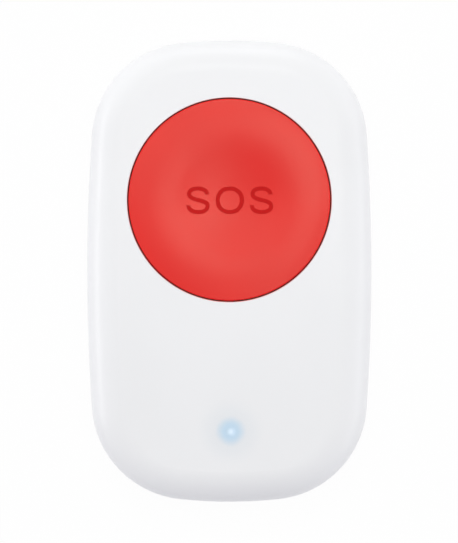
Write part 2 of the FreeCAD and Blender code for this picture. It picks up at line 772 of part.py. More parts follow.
def rear_bosses():
    """All that stands in from the rear cover: it is left out of the hollow."""
    body = new_body("rear_bosses")
    floor = ZERO
    rib = size["rib_thickness"]
    cylinder(body, "door_ring", door_ring_radius, floor, ledge_top, y=door_y)
    for x, y in cover_screw_places:
        top = parting - size["boss_gap"]
        cylinder(body, "screw_boss", size["cover_boss_radius"], floor, top, x, y)
    gussets(body, floor, board_level - rib)
    level = board_level
    for side in (1, -1):
        x = board_screw_x * side
        y = half_length - size["board_rest_end"]
        cylinder(body, "board_rest", size["board_rest_radius"], floor, level, x, y)
    reach = 2 * size["switch_width"]
    block(body, "switch_rib_across", reach, rib, floor, level, y=button_y)
    block(body, "switch_rib_along", rib, reach, floor, level, y=button_y)
    return body


def rear_openings():
    """The battery door's opening, the screw holes and the engraved marks of the rear cover."""
    body = new_body("rear_openings")
    over = board_level
    section = [
        (ZERO, as_size(-MARGIN)),
        (door_recess, as_size(-MARGIN)),
        (door_recess, door_seat),
        (seal_bore, door_seat),
        (seal_bore, ledge_level),
        (ledge_bore, ledge_level),
        (ledge_bore, over),
        (ZERO, over),
    ]
    lathe(body, "door_bore", section, y=door_y)
    notch_angle = size["lug_angle"] + 2 * size["notch_clearance"]
    inside = ledge_bore - MARGIN
    notch = [(inside, ledge_level), (seal_bore, ledge_level), (seal_bore, over), (inside, over)]
    feature, sketch = lathe(body, "notch", notch, y=door_y, angle=notch_angle, turn=notch_turn)
    repeat_round(body, feature, sketch, "V_Axis", size["lug_count"])
    for x, y in cover_screw_places:
        head = size["cover_head_radius"] + size["head_clearance"]
        shank = size["cover_screw_radius"] + size["screw_clearance"]
        cylinder(body, "head_bore", head, as_size(-MARGIN), head_seat, x, y)
        cylinder(body, "shank_bore", shank, ZERO, parting, x, y)
    mark_ring = door_radius + size["mark_offset"]
    locked = size["pointer_turn"]
    for turn, radius in (
        (locked, size["mark_radius"]),
        (locked - size["door_turn"], size["mark_radius"] * 1.5),
    ):
        x = mark_ring * turn.cosine()
        y = door_y + mark_ring * turn.sine()
        cylinder(body, "mark", radius, as_size(-MARGIN), size["mark_depth"], x, y)
    return body


def door_stops():
    """Small blocks on the ledge that end the door's turn when it is locked."""
    body = new_body("door_stops")
    inner = ledge_bore
    outer = seal_bore + size["door_flange"]
    low = ledge_level + size["ledge_thickness"] / 2
    section = [(inner, low), (outer, low), (outer, lug_top), (inner, lug_top)]
    beside = size["lug_angle"] / 2 + size["notch_clearance"] / 3
    turn = size["lug_turn"] + beside + size["stop_angle"] / 2
    feature, sketch = lathe(body, "stop", section, y=door_y, angle=size["stop_angle"], turn=turn)
    repeat_round(body, feature, sketch, "V_Axis", size["lug_count"])
    return body


def make_rear_cover(outer, inner):
    """The back half: a tray with a tongue round its edge, screw bosses and the door's bayonet ring."""
    half = combine("Common", "rear_half", outer, slab("rear_slab", as_size(-MARGIN), parting))
    tongue_low = size["floor_thickness"]
    tongue_high = parting + size["tongue_height"]
    tongue = ring_of_outline("tongue", size["tongue_inset"], tongue_low, tongue_high)
    solid = combine("MultiFuse", "rear_solid", half, tongue)
    bosses = rear_bosses()
    hollow = combine("Cut", "rear_hollow", inner, bosses)
    removed = combine("MultiFuse", "rear_removed", hollow, rear_openings())
    tray = combine("Cut", "rear_tray", solid, removed)
    return combine("MultiFuse", "rear_cover", tray, door_stops())


# Screws: turned blanks with a pan head. Their threads and recesses are a matter of finish.


def make_screws(label, places, seat, shank, head_radius, head_height, screw_length):
    """A set of equal pan-head screws, with heads below seat and shanks above it."""
    body_list = []
    for number, (x, y) in enumerate(places, start=1):
        body = new_body(f"{label}_{number}")
        tip = seat + screw_length
        point = shank / 2
        section = [
            (ZERO, seat - head_height),
            (head_radius * 0.75, seat - head_height),
            (head_radius, seat - head_height / 2),
            (head_radius, seat),
            (shank, seat),
            (shank, tip - point),
            (point, tip),
            (ZERO, tip),
        ]
        lathe(body, f"{label}_{number}_section", section, x, y)
        body_list.append(body)
    together = document.addObject("Part::Compound", label)
    together.Label = label
    together.Links = body_list
    return together


# The button and what it presses.


def make_button_cap():
    """The call button: a dished cap with a skirt, snap hooks, a key rib, a middle post and ribs."""
    body = new_body("button_cap")
    y = button_y
    radius = size["button_radius"]
    foot = skirt_foot
    cylinder(body, "blank", radius, foot, depth + MARGIN, y=y)
    dish = new_sketch(body, "dish", "YZ_Plane", (0, crown_centre, 0), -button_tilt, (0, 0, 1))
    draw_dish(dish)
    groove(body, dish)
    top = body.Shape.BoundBox.ZMax

    def on_rim(edge):
        box = edge.BoundBox
        wide = box.XLength > 2 * radius.value - MARGIN / 10
        return wide and box.ZMin > top - 2 * MARGIN

    dress(body, "Fillet", on_rim, Radius=size["button_edge_radius"])
    bore = level_sketch(body, "skirt_bore", foot, y=y)
    inside = radius - size["skirt_thickness"]
    draw_circle(bore, inside)
    pocket(body, bore, cap_underside - foot, upward=True)
    cylinder(body, "post", size["post_radius"], switch_top, cap_underside + MARGIN / 2, y=y)
    rib_level = cap_underside - size["rib_height"]
    rib_sketch = level_sketch(body, "ribs", rib_level, y=y)
    half_rib = size["rib_thickness"] / 2
    rib_start = size["post_radius"] / 2
    rib_end = inside + size["skirt_thickness"] / 2
    draw_polygon(
        rib_sketch,
        [(rib_start, -half_rib), (rib_end, -half_rib), (rib_end, half_rib), (rib_start, half_rib)],
    )
    rib = pad(body, rib_sketch, size["rib_height"] + MARGIN / 2)
    repeat_round(body, rib, rib_sketch, "N_Axis", size["rib_count"])
    catch = catch_level
    hook_foot = catch - size["hook_height"]
    leg_inside = inside + MARGIN / 10
    hook_edge = radius + size["hook_reach"]
    leg = [
        (leg_inside, hook_foot),
        (radius + size["hook_reach"] / 3, hook_foot),
        (hook_edge, catch - size["hook_height"] / 3),
        (hook_edge, catch),
        (radius, catch),
        (radius, foot + MARGIN),
        (leg_inside, foot + MARGIN),
    ]
    feature, sketch = lathe(body, "hook", leg, y=y, angle=size["hook_angle"], turn=size["hook_turn"])
    repeat_round(body, feature, sketch, "V_Axis", size["hook_count"])
    key_length = size["key_reach"] + size["skirt_thickness"] / 2
    key_middle = y - radius - size["key_reach"] + key_length / 2
    key_top = foot + size["key_height"]
    block(body, "key", size["key_width"], key_length, foot, key_top, ZERO, key_middle)
    return body


def draw_dish(sketch):
    """What lies above the button's face, as a half section about the centre of the front face's ball.

    A hollow arc in the middle runs smoothly into a rolled crest, which meets the housing's face at the rim.
    """
    across = size["crest_radius"] * size["crest_radius"] + size["dish_depth"] * size["dish_depth"]
    both_radii = across / (2 * size["dish_depth"])
    hollow = both_radii - size["crest_round"]
    hollow_centre = dish_floor + hollow
    share = size["crest_round"] / both_radii
    join_x = size["crest_radius"] * (1 - share)
    join_y = crest_centre + (hollow_centre - crest_centre) * share
    reach = size["button_radius"] + MARGIN
    past = reach - size["crest_radius"]
    reach_y = crest_centre + (size["crest_round"] * size["crest_round"] - past * past).root()
    above = size["crown_radius"] + 3 * MARGIN
    upright = FreeCAD.Vector(0, 0, 1)
    hollow_circle = Part.Circle(vector(ZERO, hollow_centre), upright, hollow.value)
    start = -math.pi / 2
    stop = math.atan2(join_y.value - hollow_centre.value, join_x.value)
    sketch.addGeometry(Part.ArcOfCircle(hollow_circle, start, stop))
    crest = vector(size["crest_radius"], crest_centre)
    crest_circle = Part.Circle(crest, upright, size["crest_round"].value)
    low = math.atan2(reach_y.value - crest_centre.value, past.value)
    high = math.atan2(join_y.value - crest_centre.value, join_x.value - size["crest_radius"].value)
    sketch.addGeometry(Part.ArcOfCircle(crest_circle, low, high))
    sketch.addGeometry(Part.LineSegment(vector(reach, reach_y), vector(reach, above)))
    sketch.addGeometry(Part.LineSegment(vector(reach, above), vector(ZERO, above)))
    sketch.addGeometry(Part.LineSegment(vector(ZERO, above), vector(ZERO, dish_floor)))
    hold_point(sketch, 0, 3, ZERO, hollow_centre)
    named(sketch, Sketcher.Constraint("Radius", 0, hollow.value), "hollow", hollow)
    hold_point(sketch, 1, 3, size["crest_radius"], crest_centre)
    sketch.addConstraint(Sketcher.Constraint("Tangent", 0, 2, 1, 2))
    sketch.addConstraint(Sketcher.Constraint("Coincident", 1, 1, 2, 1))
    sketch.addConstraint(Sketcher.Constraint("Coincident", 2, 2, 3, 1))
    sketch.addConstraint(Sketcher.Constraint("Coincident", 3, 2, 4, 1))
    sketch.addConstraint(Sketcher.Constraint("Coincident", 4, 2, 0, 1))
    sketch.addConstraint(Sketcher.Constraint("PointOnObject", 0, 1, -2))
    sketch.addConstraint(Sketcher.Constraint("Vertical", 2))
    hold_point(sketch, 2, 2, reach, above)
    hold_point(sketch, 3, 2, ZERO, above)


def make_switch():
    """The push switch: a moulded base, a metal top, four leads, a snap dome and the plunger."""
    y = button_y
    width = size["switch_width"]
    top = switch_top - size["plunger_rise"]
    cover_level = top - size["switch_cover_thickness"]
    play = size["plunger_clearance"]
    chamber = size["plunger_flange_radius"] + play
    floor = board_top + size["switch_floor"]
    bore = size["plunger_radius"] + play

    base = new_body("switch_base")
    block(base, "base_block", width, width, board_top, cover_level, y=y)
    chamber_sketch = level_sketch(base, "chamber", floor, y=y)
    draw_circle(chamber_sketch, chamber)
    pocket(base, chamber_sketch, cover_level - floor, upward=True)

    cover = new_body("switch_cover")
    block(cover, "cover_plate", width, width, cover_level, top, y=y)
    hole = level_sketch(cover, "plunger_hole", cover_level, y=y)
    draw_circle(hole, bore)
    pocket(cover, hole, size["switch_cover_thickness"], upward=True)

    plunger = new_body("switch_plunger")
    flange = size["plunger_flange_radius"]
    flange_level = floor + size["button_travel"] + size["dome_pressed_height"]
    stem = size["plunger_radius"]
    section = [
        (ZERO, flange_level),
        (flange, flange_level),
        (flange, cover_level),
        (stem, cover_level),
        (stem, switch_top),
        (ZERO, switch_top),
    ]
    lathe(plunger, "plunger_section", section, y=y)

    dome = new_body("switch_dome")
    rise = flange_level - floor - size["dome_gap"]
    draw_dome(dome, chamber - size["dome_edge_gap"], rise, size["dome_thickness"], floor, y)

    leads = new_body("switch_leads")
    reach = size["lead_reach"]
    thick = size["lead_thickness"]
    edge = width / 2
    for x_side in (1, -1):
        for y_side in (1, -1):
            lead_y = y + size["lead_spacing"] / 2 * y_side
            middle = (edge + reach / 2) * x_side
            block(leads, "foot", reach, size["lead_width"], board_top, board_top + thick, middle, lead_y)
            upright = (edge + thick / 2) * x_side
            high = board_top + size["switch_body_height"] / 3
            block(leads, "leg", thick, size["lead_width"], board_top, high, upright, lead_y)
    return [base, cover, plunger, dome, leads]


def draw_dome(body, radius, rise, thickness, level, y):
    """A thin domed disc that stands on its inner edge."""
    inner_rise = rise - thickness
    inside = (radius * radius + inner_rise * inner_rise) / (2 * inner_rise)
    ball = inside + thickness
    centre = level + rise - ball
    sketch = new_sketch(body, "dome_section", "XZ_Plane", (0, centre, -y))
    upright = FreeCAD.Vector(0, 0, 1)
    middle = FreeCAD.Vector(0, 0, 0)
    start = math.acos(radius.value / inside.value)
    stop = math.pi / 2
    for reach in (ball, inside):
        circle = Part.Circle(middle, upright, reach.value)
        sketch.addGeometry(Part.ArcOfCircle(circle, start, stop))
    outer_arc, inner_arc, rim, crown = range(4)
    for turn in (start, stop):
        direction = FreeCAD.Vector(math.cos(turn), math.sin(turn), 0)
        sketch.addGeometry(Part.LineSegment(direction * ball.value, direction * inside.value))
    for arc, reach, name in ((outer_arc, ball, "outside"), (inner_arc, inside, "inside")):
        sketch.addConstraint(Sketcher.Constraint("Coincident", arc, 3, -1, 1))
        named(sketch, Sketcher.Constraint("Radius", arc, reach.value), name, reach)
    for line, end in ((rim, 1), (crown, 2)):
        sketch.addConstraint(Sketcher.Constraint("Coincident", line, 1, outer_arc, end))
        sketch.addConstraint(Sketcher.Constraint("Coincident", line, 2, inner_arc, end))
    sketch.addConstraint(Sketcher.Constraint("PointOnObject", outer_arc, 2, -2))
    sketch.addConstraint(Sketcher.Constraint("PointOnObject", inner_arc, 2, -2))
    sketch.addConstraint(Sketcher.Constraint("PointOnObject", -1, 1, rim))
    edge = Sketcher.Constraint("DistanceX", -1, 1, inner_arc, 1, radius.value)
    named(sketch, edge, "edge", radius)
    revolve(body, sketch)


# The circuit board and what is soldered to it.


def make_circuit_board():
    """The board: it follows the housing, is notched round the screw bosses and bored for its screws."""
    board = ring_of_outline("board_blank", board_inset, board_level, board_top)
    cutter = new_body("board_cuts")
    low = board_level - MARGIN
    high = board_top + MARGIN
    notch = size["cover_boss_radius"] + size["board_notch_gap"]
    for x, y in cover_screw_places:
        cylinder(cutter, "notch", notch, low, high, x, y)
    hole = size["board_screw_radius"] + size["screw_clearance"]
    for x, y in board_screw_places:
        cylinder(cutter, "screw_hole", hole, low, high, x, y)
    return combine("Cut", "circuit_board", board, cutter)


def make_lamp():
    """The status lamp: a flat package with a round lens on it."""
    body = new_body("status_lamp")
    y = lamp_y
    high = board_top + size["lamp_height"]
    shoulder = high - size["lamp_height"] / 10
    block(body, "package", size["lamp_length"], size["lamp_width"], board_top, shoulder, y=y)
    cylinder(body, "lens", size["lens_radius"], shoulder, high, y=y)
    return body


def make_light_pipe():
    """The clear pin that brings the lamp's light to the front face, ending flush with it."""
    body = new_body("light_pipe")
    y = lamp_y
    foot = board_top + size["lamp_height"] + size["pipe_gap"]
    flange = pipe_seat - size["pipe_flange_height"]
    tip_level = pipe_end_level - size["pipe_tip_length"]
    section = [
        (ZERO, foot),
        (size["pipe_foot_radius"], foot),
        (size["pipe_foot_radius"], flange),
        (size["pipe_flange_radius"], flange),
        (size["pipe_flange_radius"], pipe_seat),
        (size["pipe_stem_radius"], pipe_seat),
        (size["pipe_stem_radius"], tip_level),
        (size["pipe_tip_radius"], tip_level),
        (size["pipe_tip_radius"], depth),
        (ZERO, depth),
    ]
    lathe(body, "pipe_section", section, y=y)
    crown = new_sketch(body, "pipe_end", "XZ_Plane", (0, crown_centre, 0))
    draw_crown(crown, size["crown_radius"], (size["length"] + size["width"]) / 2)
    groove(body, crown)
    return body


def make_radio_module():
    """The radio module: a small board on the board, with a metal can over its chips."""
    x = half_width - size["module_side"]
    y = size["module_end"] - half_length
    top = board_top + size["module_thickness"]
    board = new_body("radio_module")
    block(board, "module_board", size["module_width"], size["module_length"], board_top, top, x, y)

    shield = new_body("radio_shield")
    margin = size["shield_margin"]
    across = size["module_width"] - 2 * margin
    shield_y = y + size["module_length"] / 2 - margin - size["shield_length"] / 2
    high = top + size["shield_height"]
    block(shield, "can", across, size["shield_length"], top, high, x, shield_y)

    def upright(edge):
        box = edge.BoundBox
        return box.ZLength > size["shield_height"].value / 2

    dress(shield, "Fillet", upright, Radius=size["shield_corner"])

    def on_top(edge):
        return edge.BoundBox.ZMin > high.value - MARGIN / 100

    dress(shield, "Fillet", on_top, Radius=size["shield_corner"] / 2)
    return [board, shield]


def make_bulk_capacitor():
    """The large capacitor that helps the coin cell while the radio sends."""
    body = new_body("bulk_capacitor")
    high = board_top + size["bulk_height"]
    across = size["bulk_length"]
    along = size["bulk_width"]
    x = size["bulk_side"] - half_width
    y = size["bulk_end"] - half_length
    block(body, "case", across, along, board_top, high, x, y)

    def on_top(edge):
        return edge.BoundBox.ZMin > high.value - MARGIN / 100

    dress(body, "Chamfer", on_top, Size=size["bulk_chamfer"])
    return body


def make_chip_row(label, x):
    """A row of equal chip parts, as separate solids."""
    chips = []
    first = size["chip_end"] - half_length
    for number in range(int(size["chip_count"].value)):
        chip = document.addObject("Part::Box", f"{label}_{number + 1}")
        bind(chip, "Length", size["chip_length"])
        bind(chip, "Width", size["chip_width"])
        bind(chip, "Height", size["chip_height"])
        bind(chip, "Placement.Base.x", x - size["chip_length"] / 2)
        bind(chip, "Placement.Base.y", first + size["chip_pitch"] * number)
        bind(chip, "Placement.Base.z", board_top)
        chips.append(chip)
    together = document.addObject("Part::Compound", label)
    together.Label = label
    together.Links = chips
    return together


# The battery door, its sealing ring, the coin cell and its contacts.


def make_battery_door():
    """A round door with a coin slot and a cup for the cell, whose broken walls carry bayonet lugs."""
    body = new_body("battery_door")
    y = door_y
    edge = size["door_edge_chamfer"]
    radius = door_radius
    face = size["door_sink"]
    cup = cup_radius
    section = [
        (ZERO, face),
        (radius - edge, face),
        (radius, face + edge),
        (radius, door_seat),
        (cup, door_seat),
        (cup, ledge_level),
        (cup_bore, ledge_level),
        (cup_bore, door_seat),
        (ZERO, door_seat),
    ]
    lathe(body, "door_section", section, y=y)
    lug_edge = cup + size["lug_reach"]
    lug = [
        (cup_bore, ledge_level - MARGIN / 2),
        (cup, ledge_level - MARGIN / 2),
        (cup, lug_level),
        (lug_edge, lug_level),
        (lug_edge, lug_top),
        (cup_bore, lug_top),
    ]
    feature, sketch = lathe(body, "lug", lug, y=y, angle=size["lug_angle"], turn=size["lug_turn"])
    repeat_round(body, feature, sketch, "V_Axis", size["lug_count"])
    slot = new_sketch(
        body,
        "coin_slot",
        "XZ_Plane",
        (ZERO, face + size["coin_slot_depth"] - size["coin_radius"], -y),
    )
    draw_circle(slot, size["coin_radius"])
    pocket(body, slot, size["coin_slot_width"], midplane=True)
    out = radius - size["mark_inset"]
    turn = size["pointer_turn"]
    mark = level_sketch(body, "pointer", face, out * turn.cosine(), y + out * turn.sine())
    draw_circle(mark, size["mark_radius"])
    pocket(body, mark, size["mark_depth"], upward=True)
    return body


def make_door_seal():
    """The sealing ring round the door's cup."""
    body = new_body("door_seal")
    radius = (cup_radius + seal_bore) / 2
    thick = size["seal_thickness"] / 2
    middle = door_seat + size["cup_height"] / 2
    sketch = new_sketch(body, "seal_section", "XZ_Plane", (ZERO, middle, -door_y))
    draw_circle(sketch, thick, radius)
    revolve(body, sketch)
    return body


def make_coin_cell():
    """The coin cell: a pressed can with a raised cap on its negative side, towards the board."""
    body = new_body("coin_cell")
    y = door_y
    radius = size["cell_radius"]
    shoulder = cell_top - size["cell_cap_height"]
    section = [
        (ZERO, door_seat),
        (radius, door_seat),
        (radius, shoulder),
        (size["cell_cap_radius"], shoulder),
        (size["cell_cap_radius"], cell_top),
        (ZERO, cell_top),
    ]
    lathe(body, "cell_section", section, y=y)

    def on_can(edge):
        box = edge.BoundBox
        return box.XLength > 2 * radius.value - MARGIN / 10 and box.ZLength < MARGIN / 10

    dress(body, "Fillet", on_can, Radius=size["cell_edge_radius"])
    return body


def make_positive_contact():
    """The side contact: a strip from the board down to the rim of the cell's can."""
    body = new_body("battery_positive_contact")
    thick = size["contact_thickness"]
    inside = size["cell_radius"] + size["contact_gap"]
    low = cell_top - size["contact_reach"]
    high = board_level
    section = [
        (inside, low),
        (inside + thick, low),
        (inside + thick, high - thick),
        (inside + size["contact_foot"], high - thick),
        (inside + size["contact_foot"], high),
        (inside, high),
    ]
    strip(body, "side_strip", section, size["contact_width"], contact_turn)
    return body


def strip(body, name, section, across, turn):
    """A bent strip: its side view, padded evenly to both sides, at an angle round the door's axis."""
    sketch = lathe_sketch(body, name, ZERO, door_y, turn)
    draw_polygon(sketch, section)
    feature = pad(body, sketch, across)
    feature.Midplane = True
    return feature


def make_negative_contact():
    """The middle contact: a finger that slopes from the board down to the cell's cap."""
    body = new_body("battery_negative_contact")
    thick = size["contact_thickness"]
    high = board_level
    touch = cell_top + size["contact_gap"]
    start = size["finger_run"]
    foot = start + size["contact_foot"]
    section = [
        (foot, high),
        (start, high),
        (thick, touch + thick),
        (-size["contact_foot"] / 3, touch + thick * 2),
        (-size["contact_foot"] / 3, touch + thick),
        (ZERO, touch),
        (start, high - thick),
        (foot, high - thick),
    ]
    strip(body, "finger", section, size["contact_width"], contact_turn)
    return body


def build():
    outer, inner = housing_forms()
    pieces = [make_front_shell(outer, inner), make_rear_cover(outer, inner)]
    pieces.append(
        make_screws(
            "cover_screws",
            cover_screw_places,
            head_seat,
            size["cover_screw_radius"],
            size["cover_head_radius"],
            size["cover_head_height"],
            size["cover_screw_length"],
        )
    )
    pieces.append(
        make_screws(
            "board_screws",
            board_screw_places,
            board_level,
            size["board_screw_radius"],
            size["board_head_radius"],
            size["board_head_height"],
            size["board_screw_length"],
        )
    )
    pieces.append(make_button_cap())
    pieces += make_switch()
    pieces += [make_circuit_board(), make_lamp(), make_light_pipe()]
    pieces += make_radio_module()
    pieces.append(make_bulk_capacitor())
    pieces.append(make_chip_row("chip_capacitors", size["capacitor_side"] - half_width))
    pieces.append(make_chip_row("chip_resistors", size["resistor_side"] - half_width))
    pieces += [make_battery_door(), make_door_seal(), make_coin_cell()]
    pieces += [make_positive_contact(), make_negative_contact()]
    return pieces


def check_and_write(pieces):
    """Stops if anything failed, and writes each piece to a file named after it."""
    document.recompute()
    failed = [
        f"{thing.Label}: {thing.State}"
        for thing in document.Objects
        if "Invalid" in thing.State or "Error" in thing.State
    ]
    if failed:
        raise ValueError("; ".join(failed))
    for piece in pieces:
        if piece.Shape.isNull() or not piece.Shape.isValid():
            raise ValueError(f"{piece.Label} has no valid shape")
    os.makedirs(OUTPUT_FOLDER, exist_ok=True)
    for piece in pieces:
        piece.Shape.exportStep(os.path.join(OUTPUT_FOLDER, f"{piece.Label}.step"))
        box = piece.Shape.BoundBox
        count = len(piece.Shape.Solids)
        print(
            f"{piece.Label}: {count} solids, {piece.Shape.Volume:.1f} mm3, "
            f"x {box.XMin:.2f} {box.XMax:.2f} y {box.YMin:.2f} {box.YMax:.2f} "
            f"z {box.ZMin:.2f} {box.ZMax:.2f}"
        )


check_and_write(build())
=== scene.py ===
"""Studio picture of a wireless panic button: a white two-part housing with a dished red call button.

It lies on its flat back, face up. X runs across it, Y towards the end with the button, and all is in metres.
"""

import math

import bpy
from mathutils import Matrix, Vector


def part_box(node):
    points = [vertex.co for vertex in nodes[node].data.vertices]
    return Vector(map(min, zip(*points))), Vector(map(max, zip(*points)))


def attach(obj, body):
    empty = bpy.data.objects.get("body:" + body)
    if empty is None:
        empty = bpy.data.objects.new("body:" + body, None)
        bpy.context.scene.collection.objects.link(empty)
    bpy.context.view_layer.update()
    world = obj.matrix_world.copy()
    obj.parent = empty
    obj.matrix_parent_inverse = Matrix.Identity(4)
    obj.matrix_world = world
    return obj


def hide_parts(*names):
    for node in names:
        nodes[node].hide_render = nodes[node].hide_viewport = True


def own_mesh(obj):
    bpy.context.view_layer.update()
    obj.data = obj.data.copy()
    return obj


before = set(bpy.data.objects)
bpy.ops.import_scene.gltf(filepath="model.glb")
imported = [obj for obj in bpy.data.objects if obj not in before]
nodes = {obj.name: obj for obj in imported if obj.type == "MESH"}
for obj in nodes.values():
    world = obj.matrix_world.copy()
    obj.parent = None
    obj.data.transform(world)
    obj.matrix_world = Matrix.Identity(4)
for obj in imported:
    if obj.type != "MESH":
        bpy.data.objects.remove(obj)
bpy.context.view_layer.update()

# The front shell: the face of the housing, one moulding in white ABS with a satin, fine spark-eroded
# surface. Its wall is thin over the status lamp, so some of the lamp's light comes through round the pipe;
# that light is painted into the wall as colour and glow. The wall of the button's opening is painted red,
# as painted light that stands in for the red light between it and the button.

MILLIMETRE = 0.001
WHITE_ABS = (0.905, 0.91, 0.922)
CLOUD_SIZE = 22 * MILLIMETRE
CLOUD_SHADE = 0.985
SHELL_ROUGHNESS = 0.36
PIT_SIZE = 0.16 * MILLIMETRE
PIT_DEPTH = 0.006 * MILLIMETRE
PIT_STRENGTH = 0.35
PATCH_SIZE = 9 * MILLIMETRE
PATCH_SPREAD = 0.08
# The lamp's light in the wall, painted as colour and glow: a lit disc with a soft edge, in a wider ring of
# painted shade where the thin wall is a little dimmer. The disc and its hottest spot lie a little to one
# side of the lamp.
LIT_WALL = (0.28, 0.37, 0.445)
DIM_WALL = (0.819, 0.846, 0.876)
LIT_GLOW = (0.258, 0.33, 0.395)
HOT_GLOW = (0.45, 0.505, 0.58)
DARK = (0.0, 0.0, 0.0)
LIT_RADIUS = 1.1 * MILLIMETRE
LIT_EDGE = 3.1 * MILLIMETRE
DIM_EDGE = 7.0 * MILLIMETRE
HOT_RADIUS = 1.05 * MILLIMETRE
LIT_OFFSET = Vector((0.25, 0, 0)) * MILLIMETRE
HOT_OFFSET = Vector((0.39, -0.08, 0)) * MILLIMETRE
LIT_UNEVENNESS = 0.3 * MILLIMETRE
LIT_GRAIN = 0.9 * MILLIMETRE
# Painted red light: the red button's light in the gap, painted as colour on the wall of the opening.
PAINTED_RED_BOUNCE = (0.95, 0.26, 0.24)
OPENING_RADIUS = 19.0 * MILLIMETRE
BOUNCE_BAND_WIDTH = 0.16 * MILLIMETRE


class Signal:
    """A value or a colour on its way through a finish. Arithmetic on signals adds the nodes it needs."""

    def __init__(self, socket):
        self.socket = socket
        self.tree = socket.id_data

    def node(self, kind, settings, sockets, output=0):
        """Adds a node: first its settings, then values or signals for its sockets."""
        made = self.tree.nodes.new(kind)
        for name, value in settings.items():
            setattr(made, name, value)
        for name, value in sockets.items():
            feed(made.inputs[name], value)
        return Signal(made.outputs[output])

    def maths(self, operation, *values):
        return self.node("ShaderNodeMath", {"operation": operation}, dict(enumerate(values)))

    def __add__(self, other):
        return self.maths("ADD", self, other)

    def __sub__(self, other):
        return self.maths("SUBTRACT", self, other)

    def __mul__(self, other):
        return self.maths("MULTIPLY", self, other)

    def __radd__(self, other):
        return self.maths("ADD", other, self)

    def __rsub__(self, other):
        return self.maths("SUBTRACT", other, self)

    def __rmul__(self, other):
        return self.maths("MULTIPLY", other, self)

    def __abs__(self):
        return self.maths("ABSOLUTE", self)

    def or_more(self, other):
        """The greater of this signal and the other."""
        return self.maths("MAXIMUM", self, other)

    def waves(self, length):
        """An even wave between -1 and 1 that repeats each time the signal grows by this length."""
        return self.maths("SINE", self * (2 * math.pi / length))

    def ease(self, start, stop):
        """0 where the signal is at start and 1 where it is at stop, smooth between and level past them."""
        settings = {"interpolation_type": "SMOOTHSTEP"}
        return self.node("ShaderNodeMapRange", settings, {0: self, 1: start, 2: stop, 3: 0.0, 4: 1.0})

    def mix(self, first, second):
        """The first colour where the signal is 0, the second where it is 1."""
        return self.node("ShaderNodeMix", {"data_type": "RGBA"}, {0: self, 6: first, 7: second}, 2)

    def noise(self, grain, detail=2.0):
        """Even noise over these places, whose lumps are about as large as grain."""
        return self.node("ShaderNodeTexNoise", {}, {"Vector": self, "Scale": 1 / grain, "Detail": detail})

    def wander(self, grain, spread):
        """Noise that wanders about 0, over a range of this spread."""
        return (self.noise(grain) - 0.5) * spread

    def distance_from(self, point):
        settings = {"operation": "DISTANCE"}
        return self.node("ShaderNodeVectorMath", settings, {0: self, 1: point}, "Value")

    def axes(self):
        """The X, Y and Z of these places."""
        split = self.node("ShaderNodeSeparateXYZ", {}, {"Vector": self}).socket.node
        return [Signal(split.outputs[axis]) for axis in "XYZ"]


def feed(socket, value):
    """Links a signal to a socket, or sets the socket's own value."""
    if isinstance(value, Signal):
        socket.id_data.links.new(value.socket, socket)
    elif isinstance(value, tuple) and socket.type == "RGBA":
        socket.default_value = (*value, 1)
    else:
        socket.default_value = value


def new_finish(name, settings):
    """A material whose shader has these settings. Returns it, its shader's sockets and its places."""
    material = bpy.data.materials.new(name)
    material.use_nodes = True
    tree = material.node_tree
    sockets = tree.nodes["Principled BSDF"].inputs
    for socket, value in settings.items():
        feed(sockets[socket], value)
    places = Signal(tree.nodes.new("ShaderNodeTexCoord").outputs["Object"])
    return material, sockets, places


def shaded(colour, share):
    """The same colour with this share of its light."""
    return tuple(part * share for part in colour)


def emboss(sockets, height, strength, depth):
    """Raises the surface where the height is large, by about this depth."""
    settings = {"Strength": strength, "Distance": depth, "Height": height}
    feed(sockets["Normal"], height.node("ShaderNodeBump", {}, settings))


def mould_surface(sockets, places, roughness, depth=PIT_DEPTH):
    """The fine pits that a spark-eroded mould leaves, and a slight change of gloss over the moulding."""
    feed(sockets["Roughness"], roughness + places.wander(PATCH_SIZE, PATCH_SPREAD))
    emboss(sockets, places.noise(PIT_SIZE, detail=3.0), PIT_STRENGTH, depth)


def white_abs(name):
    """White ABS with a faint cloudiness. Returns the finish, its sockets, its places and its colour."""
    material, sockets, places = new_finish(name, {"IOR": 1.5})
    mould_surface(sockets, places, SHELL_ROUGHNESS)
    clouds = places.noise(CLOUD_SIZE, detail=1.0).ease(0.35, 0.65)
    colour = clouds.mix(WHITE_ABS, shaded(WHITE_ABS, CLOUD_SHADE))
    feed(sockets["Base Color"], colour)
    return material, sockets, places, colour


def give(piece, material):
    """Makes this the finish of the whole piece."""
    if not piece.material_slots:
        piece.data.materials.append(material)
    for slot in piece.material_slots:
        slot.material = material


def middle_of(node):
    low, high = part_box(node)
    return (low + high) / 2


def top_of(node):
    """The middle of a node's top."""
    middle = middle_of(node)
    return Vector((middle.x, middle.y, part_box(node)[1].z))


# The cap's key and hooks make its box uneven about its axis, so the plunger's middle gives the axis.
button_axis = middle_of("switch_plunger").xy
button_middle = Vector((*button_axis, top_of("button_cap").z))
hot_middle = top_of("light_pipe") + HOT_OFFSET

shell_white, sockets, places, plain = white_abs("front_shell_white")
from_button = places.distance_from(button_middle)
# A thin band of painted red light round the inside of the button's opening.
red_bounce = from_button.ease(OPENING_RADIUS + BOUNCE_BAND_WIDTH, OPENING_RADIUS)
red_bounce = red_bounce * from_button.ease(OPENING_RADIUS - 2 * BOUNCE_BAND_WIDTH, OPENING_RADIUS - BOUNCE_BAND_WIDTH)
bounce_painted = red_bounce.mix(plain, PAINTED_RED_BOUNCE)
